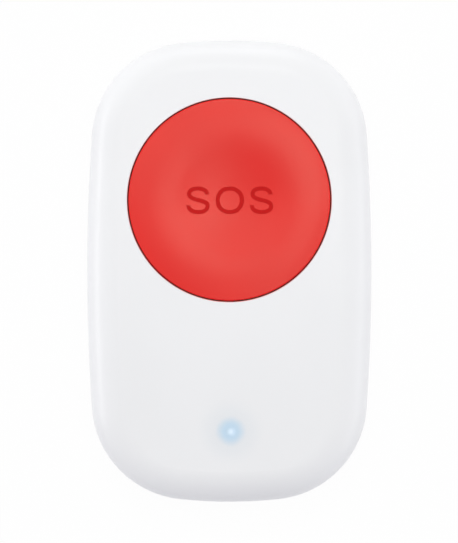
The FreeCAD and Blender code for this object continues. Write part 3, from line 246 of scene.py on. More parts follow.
# The lamp's light painted into the wall: a lit disc of colour and glow, in a ring of painted shade.
reach = places.distance_from(top_of("light_pipe") + LIT_OFFSET) + places.wander(LIT_GRAIN, LIT_UNEVENNESS)
lit = reach.ease(LIT_EDGE, LIT_RADIUS)
dimmed = reach.ease(DIM_EDGE, LIT_RADIUS).mix(bounce_painted, DIM_WALL)
hot = places.distance_from(hot_middle).ease(HOT_RADIUS, 0.0)
feed(sockets["Base Color"], lit.mix(dimmed, LIT_WALL))
feed(sockets["Emission Color"], hot.mix(lit.mix(DARK, LIT_GLOW), HOT_GLOW))
feed(sockets["Emission Strength"], 1.0)
give(nodes["front_shell"], shell_white)

# The light pipe: a clear acrylic pin pressed into its boss from inside. Its polished end is flush with
# the face, and shows the lamp's cold light as a small bright dot, painted as a pale blue colour and glow.

# The pipe's pale blue is painted lamp light, not the acrylic's own colour.
PIPE_LIT_BLUE = (0.30, 0.39, 0.46)

settings = {"Base Color": PIPE_LIT_BLUE, "IOR": 1.49, "Emission Strength": 1.0}
material, sockets, places = new_finish("light_pipe_acrylic", settings)
hot = places.distance_from(hot_middle).ease(HOT_RADIUS, 0.0)
feed(sockets["Emission Color"], hot.mix(LIT_GLOW, HOT_GLOW))
feed(sockets["Roughness"], 0.15 + places.wander(0.4 * MILLIMETRE, spread=0.1))
give(nodes["light_pipe"], material)

# The call button: a dished cap in red ABS that snaps into the front shell's collar. It has the same fine
# mould texture as the housing, on a smoother face, so it looks satin.

RED_ABS = (0.82, 0.014, 0.015)
RED_SHEEN = (1.0, 0.97, 0.76)

settings = {"Specular IOR Level": 0.36, "Specular Tint": RED_SHEEN}
material, sockets, places = new_finish("button_red", settings)
mould_surface(sockets, places, roughness=0.25)
patches = places.noise(14 * MILLIMETRE, detail=1.0).ease(0.3, 0.7)
feed(sockets["Base Color"], patches.mix(RED_ABS, shaded(RED_ABS, 0.97)))
give(nodes["button_cap"], material)

# The legend: the three letters of the distress signal, pad printed on the dish in a deeper red. They are
# plain letterforms of even stroke, drawn as ribbons and laid on the dish as a thin film.

LETTER_HEIGHT = 5.14 * MILLIMETRE
LETTER_GAP = 1.09 * MILLIMETRE
STROKE = 0.77 * MILLIMETRE
FILM = 0.03 * MILLIMETRE
DRAWN_ABOVE = 1.0 * MILLIMETRE
LEGEND_OFFSET = Vector((0.09, -0.11, 0)) * MILLIMETRE
LEGEND_RED = (0.60, 0.006, 0.008)
# A letter is its width, whether its middle line is closed, and that line's points: each point's place and
# its curve handle, in shares of the line's half width and half height.
LETTER_S = (
    4.34 * MILLIMETRE,
    False,
    (
        (0.93, 0.50, -0.03, 0.30),
        (0.0, 1.0, -0.60, 0.0),
        (-0.93, 0.53, 0.0, -0.30),
        (0.0, 0.02, 0.45, -0.09),
        (1.0, -0.49, 0.0, -0.32),
        (0.0, -1.0, -0.62, 0.0),
        (-1.0, -0.42, 0.02, 0.36),
    ),
)
LETTER_O = (
    5.28 * MILLIMETRE,
    True,
    ((1.0, 0.0, 0.0, 0.6), (0.0, 1.0, -0.6, 0.0), (-1.0, 0.0, 0.0, -0.6), (0.0, -1.0, 0.6, 0.0)),
)
LETTERS = (LETTER_S, LETTER_O, LETTER_S)


def ribbon(points, closed, width, height, middle):
    """A flat ribbon along a smooth line, which is width by height over all, round its middle."""
    bpy.ops.object.select_all(action="DESELECT")
    bpy.ops.curve.primitive_bezier_curve_add()
    made = bpy.context.object
    curve = made.data
    curve.dimensions = "3D"
    curve.twist_mode = "Z_UP"
    curve.resolution_u = 16
    curve.extrude = STROKE / 2
    line = curve.splines[0]
    line.bezier_points.add(len(points) - len(line.bezier_points))
    line.use_cyclic_u = closed
    reach = Vector((width - STROKE, height - STROKE, 0)) / 2
    for point, (x, y, handle_x, handle_y) in zip(line.bezier_points, points):
        handle = Vector((handle_x * reach.x, handle_y * reach.y, 0))
        point.handle_left_type = "FREE"
        point.handle_right_type = "FREE"
        point.co = middle + Vector((x * reach.x, y * reach.y, 0))
        point.handle_left = point.co - handle
        point.handle_right = point.co + handle
        point.tilt = math.pi / 2
    bpy.ops.object.convert(target="MESH")
    return made


def join(name, parts):
    """Makes one piece of several."""
    bpy.ops.object.select_all(action="DESELECT")
    for part in parts:
        part.select_set(True)
    bpy.context.view_layer.objects.active = parts[0]
    bpy.ops.object.join()
    parts[0].name = name
    return parts[0]


def weld(piece):
    """Merges points that fall together, and turns the faces outwards."""
    bpy.ops.object.select_all(action="DESELECT")
    piece.select_set(True)
    bpy.context.view_layer.objects.active = piece
    bpy.ops.object.mode_set(mode="EDIT")
    bpy.ops.mesh.select_all(action="SELECT")
    bpy.ops.mesh.remove_doubles(threshold=0.001 * MILLIMETRE)
    bpy.ops.mesh.normals_make_consistent(inside=False)
    bpy.ops.object.mode_set(mode="OBJECT")


def use_modifier(piece, kind, **settings):
    """Adds a modifier with these settings and applies it."""
    bpy.context.view_layer.objects.active = piece
    modifier = piece.modifiers.new(kind.lower(), kind)
    for name, value in settings.items():
        setattr(modifier, name, value)
    bpy.ops.object.modifier_apply(modifier=modifier.name)


word_width = sum(letter[0] for letter in LETTERS) + LETTER_GAP * (len(LETTERS) - 1)
middle = button_middle + LEGEND_OFFSET + Vector((-word_width / 2, 0, DRAWN_ABOVE))
letters = []
for width, closed, points in LETTERS:
    middle.x += width / 2
    letters.append(ribbon(points, closed, width, LETTER_HEIGHT, middle))
    middle.x += width / 2 + LETTER_GAP
legend = join("button_legend", letters)
weld(legend)
use_modifier(
    legend,
    "SHRINKWRAP",
    target=nodes["button_cap"],
    wrap_method="PROJECT",
    use_project_z=True,
    use_negative_direction=True,
    use_positive_direction=False,
    offset=FILM,
)
use_modifier(legend, "SOLIDIFY", thickness=2 * FILM, offset=-1)
bpy.ops.object.shade_flat()
settings = {"Specular IOR Level": 0.12, "Specular Tint": RED_SHEEN}
material, sockets, places = new_finish("legend_ink", settings)
mottle = places.noise(0.3 * MILLIMETRE, detail=3.0).ease(0.3, 0.7)
feed(sockets["Base Color"], mottle.mix(LEGEND_RED, shaded(LEGEND_RED, 0.93)))
mould_surface(sockets, places, roughness=0.5)
give(legend, material)
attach(legend, "call_button")

# The circuit board: one millimetre of glass-fibre laminate under a satin green solder mask, bare at its
# milled edges. The etched copper tracks stand up a little under the mask.

SOLDER_MASK = (0.016, 0.15, 0.07)
MASK_ON_COPPER = (0.03, 0.23, 0.10)
LAMINATE = (0.45, 0.38, 0.19)
WEAVE = 0.5 * MILLIMETRE
COPPER = 0.035 * MILLIMETRE
TRACK_WIDTH = 0.3 * MILLIMETRE
CHIP_ROWS = 4
CHIP_WIDTH = 0.8 * MILLIMETRE
# The first of the radio module's pins that has a track, and the step to the next, in shares of its half
# length.
FIRST_PIN = -0.75
PIN_STEP = 0.3


def facing(places):
    """How far the surface faces along X, Y and Z."""
    return Signal(places.socket.node.outputs["Normal"]).axes()


def coated_board(name, mask):
    """Laminate with mask on its two faces and bare edges. The threads of its glass cloth show faintly."""
    material, sockets, places = new_finish(name, {"Coat Weight": 0.3, "Coat Roughness": 0.15})
    across, along, _ = places.axes()
    bare = abs(facing(places)[2]).ease(0.8, 0.4)
    feed(sockets["Base Color"], bare.mix(mask, LAMINATE))
    feed(sockets["Roughness"], 0.34 + bare * 0.3 + places.wander(3 * MILLIMETRE, spread=0.08))
    emboss(sockets, across.waves(WEAVE) * along.waves(WEAVE), strength=0.3, depth=0.01 * MILLIMETRE)
    return material


def route(start, stop):
    """A track's corners: straight, then a diagonal to where it stops."""
    along = stop - start
    diagonal = min(abs(along.x), abs(along.y))
    knee = stop - Vector((math.copysign(diagonal, along.x), math.copysign(diagonal, along.y), 0))
    return [start, knee, stop]


def track(corners, width=TRACK_WIDTH):
    """A flat ribbon of copper along its corners."""
    bpy.ops.object.select_all(action="DESELECT")
    bpy.ops.curve.primitive_nurbs_path_add()
    made = bpy.context.object
    curve = made.data
    curve.twist_mode = "Z_UP"
    curve.extrude = width / 2
    curve.splines.clear()
    line = curve.splines.new("POLY")
    line.points.add(len(corners) - 1)
    for point, corner in zip(line.points, corners):
        point.co = (*corner, 1)
        point.tilt = math.pi / 2
    bpy.ops.object.convert(target="MESH")
    return made


def film(name, ribbons, thickness):
    """One thin film of several ribbons, standing up from where they lie."""
    made = join(name, ribbons)
    weld(made)
    use_modifier(made, "SOLIDIFY", thickness=2 * thickness, offset=0)
    bpy.ops.object.shade_flat()
    return made


def at(node, across, along, level):
    """A place in a node's box, in shares of its half size from its middle, at this level."""
    low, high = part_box(node)
    half = (high - low) / 2
    middle = middle_of(node)
    return Vector((middle.x + half.x * across, middle.y + half.y * along, level))


give(nodes["circuit_board"], coated_board("board_mask", SOLDER_MASK))

board_low, board_high = [corner.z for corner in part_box("circuit_board")]
capacitors_low, capacitors_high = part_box("chip_capacitors")
resistors_low, resistors_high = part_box("chip_resistors")
chip_pitch = (capacitors_high.y - capacitors_low.y - CHIP_WIDTH) / (CHIP_ROWS - 1)
chip_rows = [capacitors_low.y + CHIP_WIDTH / 2 + chip_pitch * number for number in range(CHIP_ROWS)]
tracks = []
for number, along in enumerate(chip_rows):
    start = Vector((capacitors_high.x, along, board_high))
    pin = at("radio_module", -1, FIRST_PIN + PIN_STEP * number, board_high)
    tracks.append(track(route(start, pin)))
    start = Vector((capacitors_low.x, along, board_high))
    tracks.append(track([start, Vector((resistors_high.x, along, board_high))]))
common = [Vector((resistors_low.x, along, board_high)) for along in (chip_rows[0], chip_rows[-1])]
tracks.append(track(common))
first_chip = Vector((capacitors_high.x, chip_rows[0], board_high))
tracks.append(track(route(at("status_lamp", -1, 0, board_high), first_chip)))
tracks.append(track(route(at("status_lamp", 1, 0, board_high), at("radio_module", -0.6, -1, board_high))))
via_places = []
for side in (-1, 1):
    start = at("switch_leads", side, -0.87, board_high)
    tracks.append(track(route(start, at("radio_module", 0.2 + 0.4 * side, 1, board_high))))
    start = at("bulk_capacitor", side, 0, board_high)
    stop = at("battery_negative_contact", 0.6 * side, 1, board_high)
    tracks.append(track(route(start, stop), 2 * TRACK_WIDTH))
    via_places.append(stop)
board_tracks = film("board_tracks", tracks, COPPER)
give(board_tracks, coated_board("mask_on_copper", MASK_ON_COPPER))
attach(board_tracks, "housing")

# The solder: a bright bevelled joint of tin alloy at each foot and end of the parts, and at the feet of the
# battery contacts on the underside. Each has wetted its pad and drawn up a little.

TIN = (0.74, 0.74, 0.72)
JOINT_RISE = 0.16 * MILLIMETRE
JOINT_MARGIN = 0.35 * MILLIMETRE
JOINT_EDGE = 0.072 * MILLIMETRE
CHIP_END = 0.3 * MILLIMETRE
LEAD_WIDTH = 0.7 * MILLIMETRE
LEAD_REACH = 1.1 * MILLIMETRE
LAMP_FOOT = (0.6 * MILLIMETRE, 1.6 * MILLIMETRE)
TAB_FOOT = 0.8 * MILLIMETRE
TAB_WIDTH = 2.4 * MILLIMETRE
CONTACT_FOOT = 3.0 * MILLIMETRE
VIA_RADIUS = 0.35 * MILLIMETRE
VIA_RIM = 0.14 * MILLIMETRE


def metal(name, colour, roughness):
    """Bare or plated metal with a fine uneven surface. Returns the finish, its sockets and its places."""
    material, sockets, places = new_finish(name, {"Metallic": 1.0})
    stains = places.noise(4 * MILLIMETRE, detail=3.0).ease(0.3, 0.7)
    feed(sockets["Base Color"], stains.mix(colour, shaded(colour, 0.86)))
    feed(sockets["Roughness"], roughness + places.wander(1.5 * MILLIMETRE, spread=0.16))
    scratches = places.noise(0.25 * MILLIMETRE, detail=3.0)
    emboss(sockets, scratches, strength=0.4, depth=0.004 * MILLIMETRE)
    return material, sockets, places


def bevelled_block(low, high, edge, segments=3):
    """A block between two corners, with rounded edges."""
    bpy.ops.object.select_all(action="DESELECT")
    bpy.ops.mesh.primitive_cube_add(size=1, location=(low + high) / 2, scale=high - low)
    made = bpy.context.object
    bpy.ops.object.transform_apply(location=True, rotation=True, scale=True)
    bpy.ops.object.mode_set(mode="EDIT")
    bpy.ops.mesh.select_all(action="SELECT")
    bpy.ops.mesh.bevel(offset=edge, segments=segments, affect="EDGES")
    bpy.ops.object.mode_set(mode="OBJECT")
    return made


def solder_joint(middle, across, along, upward=1):
    """A joint on the board's face, as a low pillow round a foot."""
    half = Vector((across / 2 + JOINT_MARGIN, along / 2 + JOINT_MARGIN, 0))
    rise = Vector((0, 0, JOINT_RISE * upward))
    corners = (middle - half, middle + half + rise)
    low = Vector([min(pair) for pair in zip(*corners)])
    high = Vector([max(pair) for pair in zip(*corners)])
    return bevelled_block(low, high, JOINT_EDGE)


def via(place):
    """A plated hole: a low ring of solder round it."""
    bpy.ops.object.select_all(action="DESELECT")
    bpy.ops.mesh.primitive_torus_add(
        major_radius=VIA_RADIUS, minor_radius=VIA_RIM, major_segments=24, minor_segments=8, location=place
    )
    made = bpy.context.object
    made.scale.z = 0.5
    bpy.ops.object.transform_apply(location=True, rotation=True, scale=True)
    return made


joints = [via(place) for place in via_places]
for node in ("chip_capacitors", "chip_resistors"):
    for side in (-1, 1):
        for along in chip_rows:
            middle = Vector((at(node, side, 0, board_high).x, along, board_high))
            joints.append(solder_joint(middle, CHIP_END, CHIP_WIDTH))
for side in (-1, 1):
    for end in (-1, 1):
        corner = at("switch_leads", side, end, board_high)
        foot = corner - Vector((side * LEAD_REACH / 2, end * LEAD_WIDTH / 2, 0))
        joints.append(solder_joint(foot, LEAD_REACH, LEAD_WIDTH))
    joints.append(solder_joint(at("status_lamp", side, 0, board_high), *LAMP_FOOT))
    joints.append(solder_joint(at("bulk_capacitor", side, 0, board_high), TAB_FOOT, TAB_WIDTH))
for contact in ("battery_positive_contact", "battery_negative_contact"):
    foot = at(contact, 0, 1, board_low) - Vector((0, CONTACT_FOOT / 2, 0))
    low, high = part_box(contact)
    joints.append(solder_joint(foot, high.x - low.x, CONTACT_FOOT, upward=-1))
solder = join("solder_joints", joints)
bpy.ops.object.shade_smooth_by_angle(angle=math.radians(50))
give(solder, metal("solder_tin", TIN, roughness=0.22)[0])
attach(solder, "housing")

# The push switch: a black moulded base under a stamped steel top, held by four moulded studs. A sprung steel
# dome inside pushes the ivory plunger back up, and four tinned leads come out at the sides.

SWITCH_BLACK = (0.018, 0.018, 0.02)
SWITCH_STEEL = (0.62, 0.62, 0.60)
DOME_STEEL = (0.70, 0.69, 0.66)
IVORY = (0.74, 0.70, 0.58)
STUD_INSET = 0.75 * MILLIMETRE
STUD_RADIUS = 0.4 * MILLIMETRE
STUD_RISE = 0.22 * MILLIMETRE
# The stud's rounded side, as shares of its radius and of its rise.
STUD_SIDE = ((1.0, 0.0), (1.0, 0.35), (0.88, 0.72), (0.6, 0.94), (0.25, 1.0))
DOME_STEPS = (0.1, 0.3, 0.5, 0.7, 0.86, 1.0)
DOME_THICKNESS = 0.08 * MILLIMETRE


def moulding(name, colour, roughness):
    """A moulded plastic whose colour varies faintly."""
    material, sockets, places = new_finish(name, {"IOR": 1.5})
    clouds = places.noise(3 * MILLIMETRE).ease(0.3, 0.7)
    feed(sockets["Base Color"], clouds.mix(colour, shaded(colour, 0.9)))
    mould_surface(sockets, places, roughness)
    return material


def roll_lines(sockets, places, stretch, grain, depth):
    """The fine lines that rolling leaves in a sheet, drawn out along the axes where the stretch is small."""
    rolled = places.node("ShaderNodeMapping", {}, {"Vector": places, "Scale": stretch})
    emboss(sockets, rolled.noise(grain), strength=0.5, depth=depth)


def turned(middle, profile, sides):
    """A turned piece about an upright axis: a disc drawn up through its profile of (radius, level)."""
    bpy.ops.object.select_all(action="DESELECT")
    radius, level = profile[0]
    place = (middle.x, middle.y, level)
    bpy.ops.mesh.primitive_circle_add(vertices=sides, radius=radius, fill_type="NGON", location=place)
    made = bpy.context.object
    bpy.ops.object.transform_apply(location=True, rotation=True, scale=True)
    bpy.ops.object.mode_set(mode="EDIT")
    bpy.ops.mesh.select_all(action="SELECT")
    for next_radius, next_level in profile[1:]:
        bpy.ops.mesh.extrude_region_move(TRANSFORM_OT_translate={"value": (0, 0, next_level - level)})
        share = next_radius / radius
        centre = (middle.x, middle.y, next_level)
        bpy.ops.transform.resize(value=(share, share, 1), center_override=centre)
        radius, level = next_radius, next_level
    bpy.ops.object.mode_set(mode="OBJECT")
    weld(made)
    return made


give(nodes["switch_base"], moulding("switch_moulding", SWITCH_BLACK, roughness=0.5))
give(nodes["switch_plunger"], moulding("plunger_ivory", IVORY, roughness=0.42))
material, sockets, places = metal("switch_top_steel", SWITCH_STEEL, roughness=0.34)
roll_lines(sockets, places, stretch=(1.0, 0.04, 1.0), grain=0.06 * MILLIMETRE, depth=0.004 * MILLIMETRE)
give(nodes["switch_cover"], material)
give(nodes["switch_leads"], metal("lead_tin", TIN, roughness=0.3)[0])

cover_low, cover_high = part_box("switch_cover")
stud_side = [(STUD_RADIUS * out, cover_high.z + STUD_RISE * up) for out, up in STUD_SIDE]
studs = []
for across in (cover_low.x + STUD_INSET, cover_high.x - STUD_INSET):
    for along in (cover_low.y + STUD_INSET, cover_high.y - STUD_INSET):
        studs.append(turned(Vector((across, along, 0)), stud_side, sides=20))
switch_studs = join("switch_studs", studs)
bpy.ops.object.shade_smooth_by_angle(angle=math.radians(50))
give(switch_studs, nodes["switch_base"].material_slots[0].material)
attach(switch_studs, "housing")

dome_low, dome_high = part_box("switch_dome")
dome_rim = (dome_high.x - dome_low.x) / 2
dome_rise = dome_high.z - dome_low.z


def dome_line(rim, rise):
    """Half of the dome's section, from its crown out to its rim."""
    return [(rim * share, dome_low.z + rise * (1 - share * share)) for share in DOME_STEPS]


inside = dome_line(dome_rim - DOME_THICKNESS, dome_rise - DOME_THICKNESS)
outside = dome_line(dome_rim, dome_rise)
snap_dome = turned(middle_of("switch_dome"), inside + outside[::-1], sides=40)
snap_dome.name = "snap_dome"
bpy.ops.object.shade_smooth_by_angle(angle=math.radians(40))
give(snap_dome, metal("dome_steel", DOME_STEEL, roughness=0.2)[0])
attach(snap_dome, "housing")
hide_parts("switch_dome")
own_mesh(snap_dome)

# The status lamp: a white moulded package with a clear lens over its chip, soldered under the light pipe. The
# lens glows while the lamp is on.

PACKAGE_WHITE = (0.80, 0.80, 0.76)
LENS_TINT = (0.70, 0.84, 0.92)
LENS_GLOW = (0.45, 0.75, 1.0)
LENS_RADIUS = 1.2 * MILLIMETRE

material, sockets, places = new_finish("lamp_package", {"IOR": 1.52, "Emission Strength": 1.0})
reach = places.distance_from(top_of("status_lamp"))
lens = reach.ease(LENS_RADIUS * 1.05, LENS_RADIUS * 0.95)
feed(sockets["Base Color"], lens.mix(PACKAGE_WHITE, LENS_TINT))
feed(sockets["Roughness"], 0.42 - lens * 0.34 + places.wander(0.5 * MILLIMETRE, spread=0.06))
lit = reach.ease(LENS_RADIUS, 0.2 * LENS_RADIUS)
feed(sockets["Emission Color"], lit.mix(DARK, LENS_GLOW))
give(nodes["status_lamp"], material)

# The radio module: a small board with a black mask, soldered along its edges to the circuit board. Its open
# end carries the aerial, a gilded copper track that runs to and fro, and a pressed can screens its chips.

MODULE_MASK = (0.012, 0.014, 0.018)
GOLD = (0.90, 0.68, 0.32)
CAN_METAL = (0.72, 0.71, 0.67)
EDGE_PADS = 9
EDGE_PITCH = 1.27 * MILLIMETRE
PAD_WIDTH = 0.76 * MILLIMETRE
PAD_DEPTH = 0.9 * MILLIMETRE
PAD_INSET = 1.4 * MILLIMETRE
AERIAL_WIDTH = 0.45 * MILLIMETRE
AERIAL_TURNS = 4
AERIAL_INSET = 1.1 * MILLIMETRE

give(nodes["radio_module"], coated_board("module_mask", MODULE_MASK))
module_low, module_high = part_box("radio_module")
gold = metal("gilded_copper", GOLD, roughness=0.25)[0]

aerial_low = module_low.y + AERIAL_INSET
aerial_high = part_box("radio_shield")[0].y - AERIAL_INSET / 2
left = module_low.x + AERIAL_INSET
step = (module_high.x - module_low.x - 2 * AERIAL_INSET) / (2 * AERIAL_TURNS)
corners = []
for number in range(2 * AERIAL_TURNS + 1):
    ends = [aerial_high, aerial_low] if number % 2 == 0 else [aerial_low, aerial_high]
    corners += [Vector((left + step * number, end, module_high.z)) for end in ends]
aerial = film("module_aerial", [track(corners, AERIAL_WIDTH)], COPPER)
give(aerial, gold)
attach(aerial, "housing")

edge_pads = []
for inner, outer in ((module_low.x + PAD_DEPTH, module_low.x), (module_high.x - PAD_DEPTH, module_high.x)):
    proud = outer + math.copysign(COPPER, outer - inner)
    for number in range(EDGE_PADS):
        along = module_high.y - PAD_INSET - EDGE_PITCH * number
        low = Vector((min(inner, proud), along - PAD_WIDTH / 2, board_high))
        high = Vector((max(inner, proud), along + PAD_WIDTH / 2, module_high.z + COPPER))
        edge_pads.append(bevelled_block(low, high, COPPER / 2, segments=1))
module_pads = join("module_pads", edge_pads)
give(module_pads, gold)
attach(module_pads, "housing")

material, sockets, places = metal("can_plate", CAN_METAL, roughness=0.32)
roll_lines(sockets, places, stretch=(0.03, 1.0, 1.0), grain=0.05 * MILLIMETRE, depth=0.005 * MILLIMETRE)
give(nodes["radio_shield"], material)

# The large capacitor: a moulded ochre case with a darker band at its positive end, and tinned tabs folded
# under its ends.

CASE_OCHRE = (0.62, 0.32, 0.05)
BAND_BROWN = (0.22, 0.08, 0.02)
BAND_LENGTH = 1.1 * MILLIMETRE
TAB_HEIGHT = 1.3 * MILLIMETRE
TAB_THICKNESS = 0.12 * MILLIMETRE

case_low, case_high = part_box("bulk_capacitor")
material, sockets, places = new_finish("capacitor_case", {"IOR": 1.5})
band = places.axes()[0].ease(case_low.x + BAND_LENGTH * 1.03, case_low.x + BAND_LENGTH * 0.97)
feed(sockets["Base Color"], band.mix(CASE_OCHRE, BAND_BROWN))
mould_surface(sockets, places, roughness=0.48)
give(nodes["bulk_capacitor"], material)

tabs = []
middle = middle_of("bulk_capacitor")
for end, outer in ((case_low.x, case_low.x - TAB_THICKNESS), (case_high.x, case_high.x + TAB_THICKNESS)):
    low = Vector((min(end, outer), middle.y - TAB_WIDTH / 2, board_high))
    high = Vector((max(end, outer), middle.y + TAB_WIDTH / 2, board_high + TAB_HEIGHT))
    tabs.append(bevelled_block(low, high, TAB_THICKNESS / 3, segments=2))
capacitor_tabs = join("capacitor_tabs", tabs)
bpy.ops.object.shade_smooth_by_angle(angle=math.radians(40))
give(capacitor_tabs, nodes["switch_leads"].material_slots[0].material)
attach(capacitor_tabs, "housing")

# The chip parts: fired ceramic blocks with plated ends. The capacitors are brown all over, and the resistors
# have a black coat on top of white ceramic.

CERAMIC_BROWN = (0.30, 0.20, 0.12)
RESISTOR_BLACK = (0.015, 0.015, 0.018)
CERAMIC_WHITE = (0.72, 0.72, 0.70)
PLATED_SHARE = 0.62


def chip_finish(name, node, side, top):
    """A chip's finish: plated past a share of its half length, and a coat on its top."""
    material, sockets, places = new_finish(name, {})
    low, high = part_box(node)
    half = (high.x - low.x) / 2
    out = abs(places.axes()[0] - middle_of(node).x)
    plated = out.ease(half * PLATED_SHARE, half * (PLATED_SHARE + 0.04))
    coat = facing(places)[2].ease(0.6, 0.8)
    feed(sockets["Base Color"], plated.mix(coat.mix(side, top), TIN))
    feed(sockets["Metallic"], plated)
    feed(sockets["Roughness"], 0.5 - plated * 0.22 + places.wander(0.3 * MILLIMETRE, spread=0.1))
    emboss(sockets, places.noise(0.08 * MILLIMETRE), strength=0.4, depth=0.006 * MILLIMETRE)
    return material


brown = chip_finish("capacitor_chips", "chip_capacitors", CERAMIC_BROWN, CERAMIC_BROWN)
give(nodes["chip_capacitors"], brown)
black = chip_finish("resistor_chips", "chip_resistors", CERAMIC_WHITE, RESISTOR_BLACK)
give(nodes["chip_resistors"], black)

# The screws: zinc-plated pan heads with a cross recess and a coarse thread for plastic. Three short ones
# hold the board to the front shell's posts, and four long ones pull the rear cover on from behind.

ZINC = (0.66, 0.67, 0.69)
THREAD_STEPS = 20
# The pan head's rounded side, as shares of its radius and of its height.
HEAD_SIDE = ((0.45, 0.0), (0.72, 0.06), (0.88, 0.2), (0.97, 0.42), (1.0, 0.62), (1.0, 1.0))
RECESS_SHARE = 0.62
BLADE_WIDTH = 0.4
BLADE_TAPER = 0.45
CORE_SHARE = 0.74
BOARD_SCREW_HEAD = 1.6 * MILLIMETRE
BOARD_SCREW_HEIGHT = 1.0 * MILLIMETRE
BOARD_SCREW_THREAD = 0.8 * MILLIMETRE
BOARD_SCREW_PITCH = 0.6 * MILLIMETRE
COVER_SCREW_HEAD = 1.9 * MILLIMETRE
COVER_SCREW_HEIGHT = 1.3 * MILLIMETRE
COVER_SCREW_THREAD = 1.0 * MILLIMETRE
COVER_SCREW_PITCH = 0.8 * MILLIMETRE


def cross_recess(top, radius, depth):
    """A cutter for the recess: two crossed blades that taper towards their point."""
    blades = []
    for turn in (0, math.pi / 2):
        bpy.ops.object.select_all(action="DESELECT")
        bpy.ops.mesh.primitive_cube_add(size=1, location=(0, 0, top + 0.4 * depth), rotation=(0, 0, turn))
        blade = bpy.context.object
        blade.scale = (2 * radius, BLADE_WIDTH * radius, 1.2 * depth)
        bpy.ops.object.transform_apply(location=True, rotation=True, scale=True)
        bpy.ops.object.mode_set(mode="EDIT")
        bpy.ops.mesh.select_all(action="DESELECT")
        bpy.ops.object.mode_set(mode="OBJECT")
        for corner in blade.data.vertices:
            corner.select = corner.co.z > top
        bpy.ops.object.mode_set(mode="EDIT")
        bpy.ops.transform.resize(value=(BLADE_TAPER, BLADE_TAPER, 1), center_override=(0, 0, top))
        bpy.ops.object.mode_set(mode="OBJECT")
        blades.append(blade)
    return join("recess_cutter", blades)


def thread(root, crest, low, high, pitch):
    """The thread's ridge: a three-cornered section wound up round the core from low to high."""
    bpy.ops.object.select_all(action="DESELECT")
    bpy.ops.mesh.primitive_circle_add(vertices=3, radius=1, location=(0, 0, 0))
    made = bpy.context.object
    section = [(crest, 0), (root * 0.9, pitch * 0.42), (root * 0.9, -pitch * 0.42)]
    for corner, (out, up) in zip(made.data.vertices, section):
        corner.co = (out, 0, low + pitch / 2 + up)
    use_modifier(
        made,
        "SCREW",
        screw_offset=pitch,
        iterations=round((high - low) / pitch) - 1,
        steps=THREAD_STEPS,
        render_steps=THREAD_STEPS,
        use_merge_vertices=False,
    )
    bpy.ops.object.mode_set(mode="EDIT")
    bpy.ops.mesh.select_all(action="DESELECT")
    bpy.ops.mesh.select_non_manifold()
    bpy.ops.mesh.fill_holes(sides=0)
    bpy.ops.object.mode_set(mode="OBJECT")
    weld(made)
    return made


def screw(low, tip, head_radius, head_height, crest, pitch):
    """A pan-head screw that stands on its head at low, with its tip up."""
    seat = low + head_height
    root = crest * CORE_SHARE
    profile = [(head_radius * out, low + head_height * up) for out, up in HEAD_SIDE]
    profile += [
        (crest, seat),
        (root, seat + crest * 0.2),
        (root, tip - crest * 1.2),
        (crest * 0.3, tip - crest * 0.1),
        (crest * 0.12, tip),
    ]
    blank = turned(Vector((0, 0, 0)), profile, sides=40)
    cutter = cross_recess(low, head_radius * RECESS_SHARE, head_height * RECESS_SHARE)
    bpy.ops.object.select_all(action="DESELECT")
    use_modifier(blank, "BOOLEAN", object=cutter, operation="DIFFERENCE", solver="EXACT", use_self=True)
    bpy.data.objects.remove(cutter)
    ridge = thread(root, crest, seat + crest * 0.3, tip - crest * 0.6, pitch)
    return join("screw", [blank, ridge])


def screw_set(name, model, axes):
    """Copies of one screw, each on its own axis, as one piece."""
    copies = []
    for across, along in axes:
        bpy.ops.object.select_all(action="DESELECT")
        model.select_set(True)
        bpy.context.view_layer.objects.active = model
        bpy.ops.object.duplicate(linked=False)
        copy = bpy.context.object
        copy.location = (across, along, 0)
        bpy.ops.object.transform_apply(location=True, rotation=True, scale=True)
        copies.append(copy)
    bpy.data.objects.remove(model)
    made = join(name, copies)
    bpy.ops.object.shade_smooth_by_angle(angle=math.radians(35))
    give(made, metal(f"{name}_zinc", ZINC, roughness=0.27)[0])
    return made


low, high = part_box("board_screws")
model = screw(low.z, high.z, BOARD_SCREW_HEAD, BOARD_SCREW_HEIGHT, BOARD_SCREW_THREAD, BOARD_SCREW_PITCH)
left, right = low.x + BOARD_SCREW_HEAD, high.x - BOARD_SCREW_HEAD
near, far = low.y + BOARD_SCREW_HEAD, high.y - BOARD_SCREW_HEAD
board_screw_set = screw_set("board_screw_set", model, [(left, near), (right, near), (0, far)])
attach(board_screw_set, "housing")
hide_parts("board_screws")

low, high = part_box("cover_screws")
model = screw(low.z, high.z, COVER_SCREW_HEAD, COVER_SCREW_HEIGHT, COVER_SCREW_THREAD, COVER_SCREW_PITCH)
left, right = low.x + COVER_SCREW_HEAD, high.x - COVER_SCREW_HEAD
near, far = low.y + COVER_SCREW_HEAD, high.y - COVER_SCREW_HEAD
corners = [(left, near), (left, far), (right, near), (right, far)]
cover_screw_set = screw_set("cover_screw_set", model, corners)
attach(cover_screw_set, "housing")
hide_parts("cover_screws")

# The battery contacts: two bent strips of plated spring bronze, soldered under the board. One presses on
# the rim of the cell and one on its cap.

SPRING_PLATE = (0.80, 0.70, 0.46)

material, sockets, places = metal("contact_plate", SPRING_PLATE, roughness=0.28)
roll_lines(sockets, places, stretch=(1.0, 0.03, 0.03), grain=0.05 * MILLIMETRE, depth=0.004 * MILLIMETRE)
give(nodes["battery_positive_contact"], material)
give(nodes["battery_negative_contact"], material)

# The coin cell: a pressed can in nickel-plated steel, turned bright on its faces, with a dark sealing ring
# between the can and the raised cap. A plus sign is pressed into the can, as on any such cell.

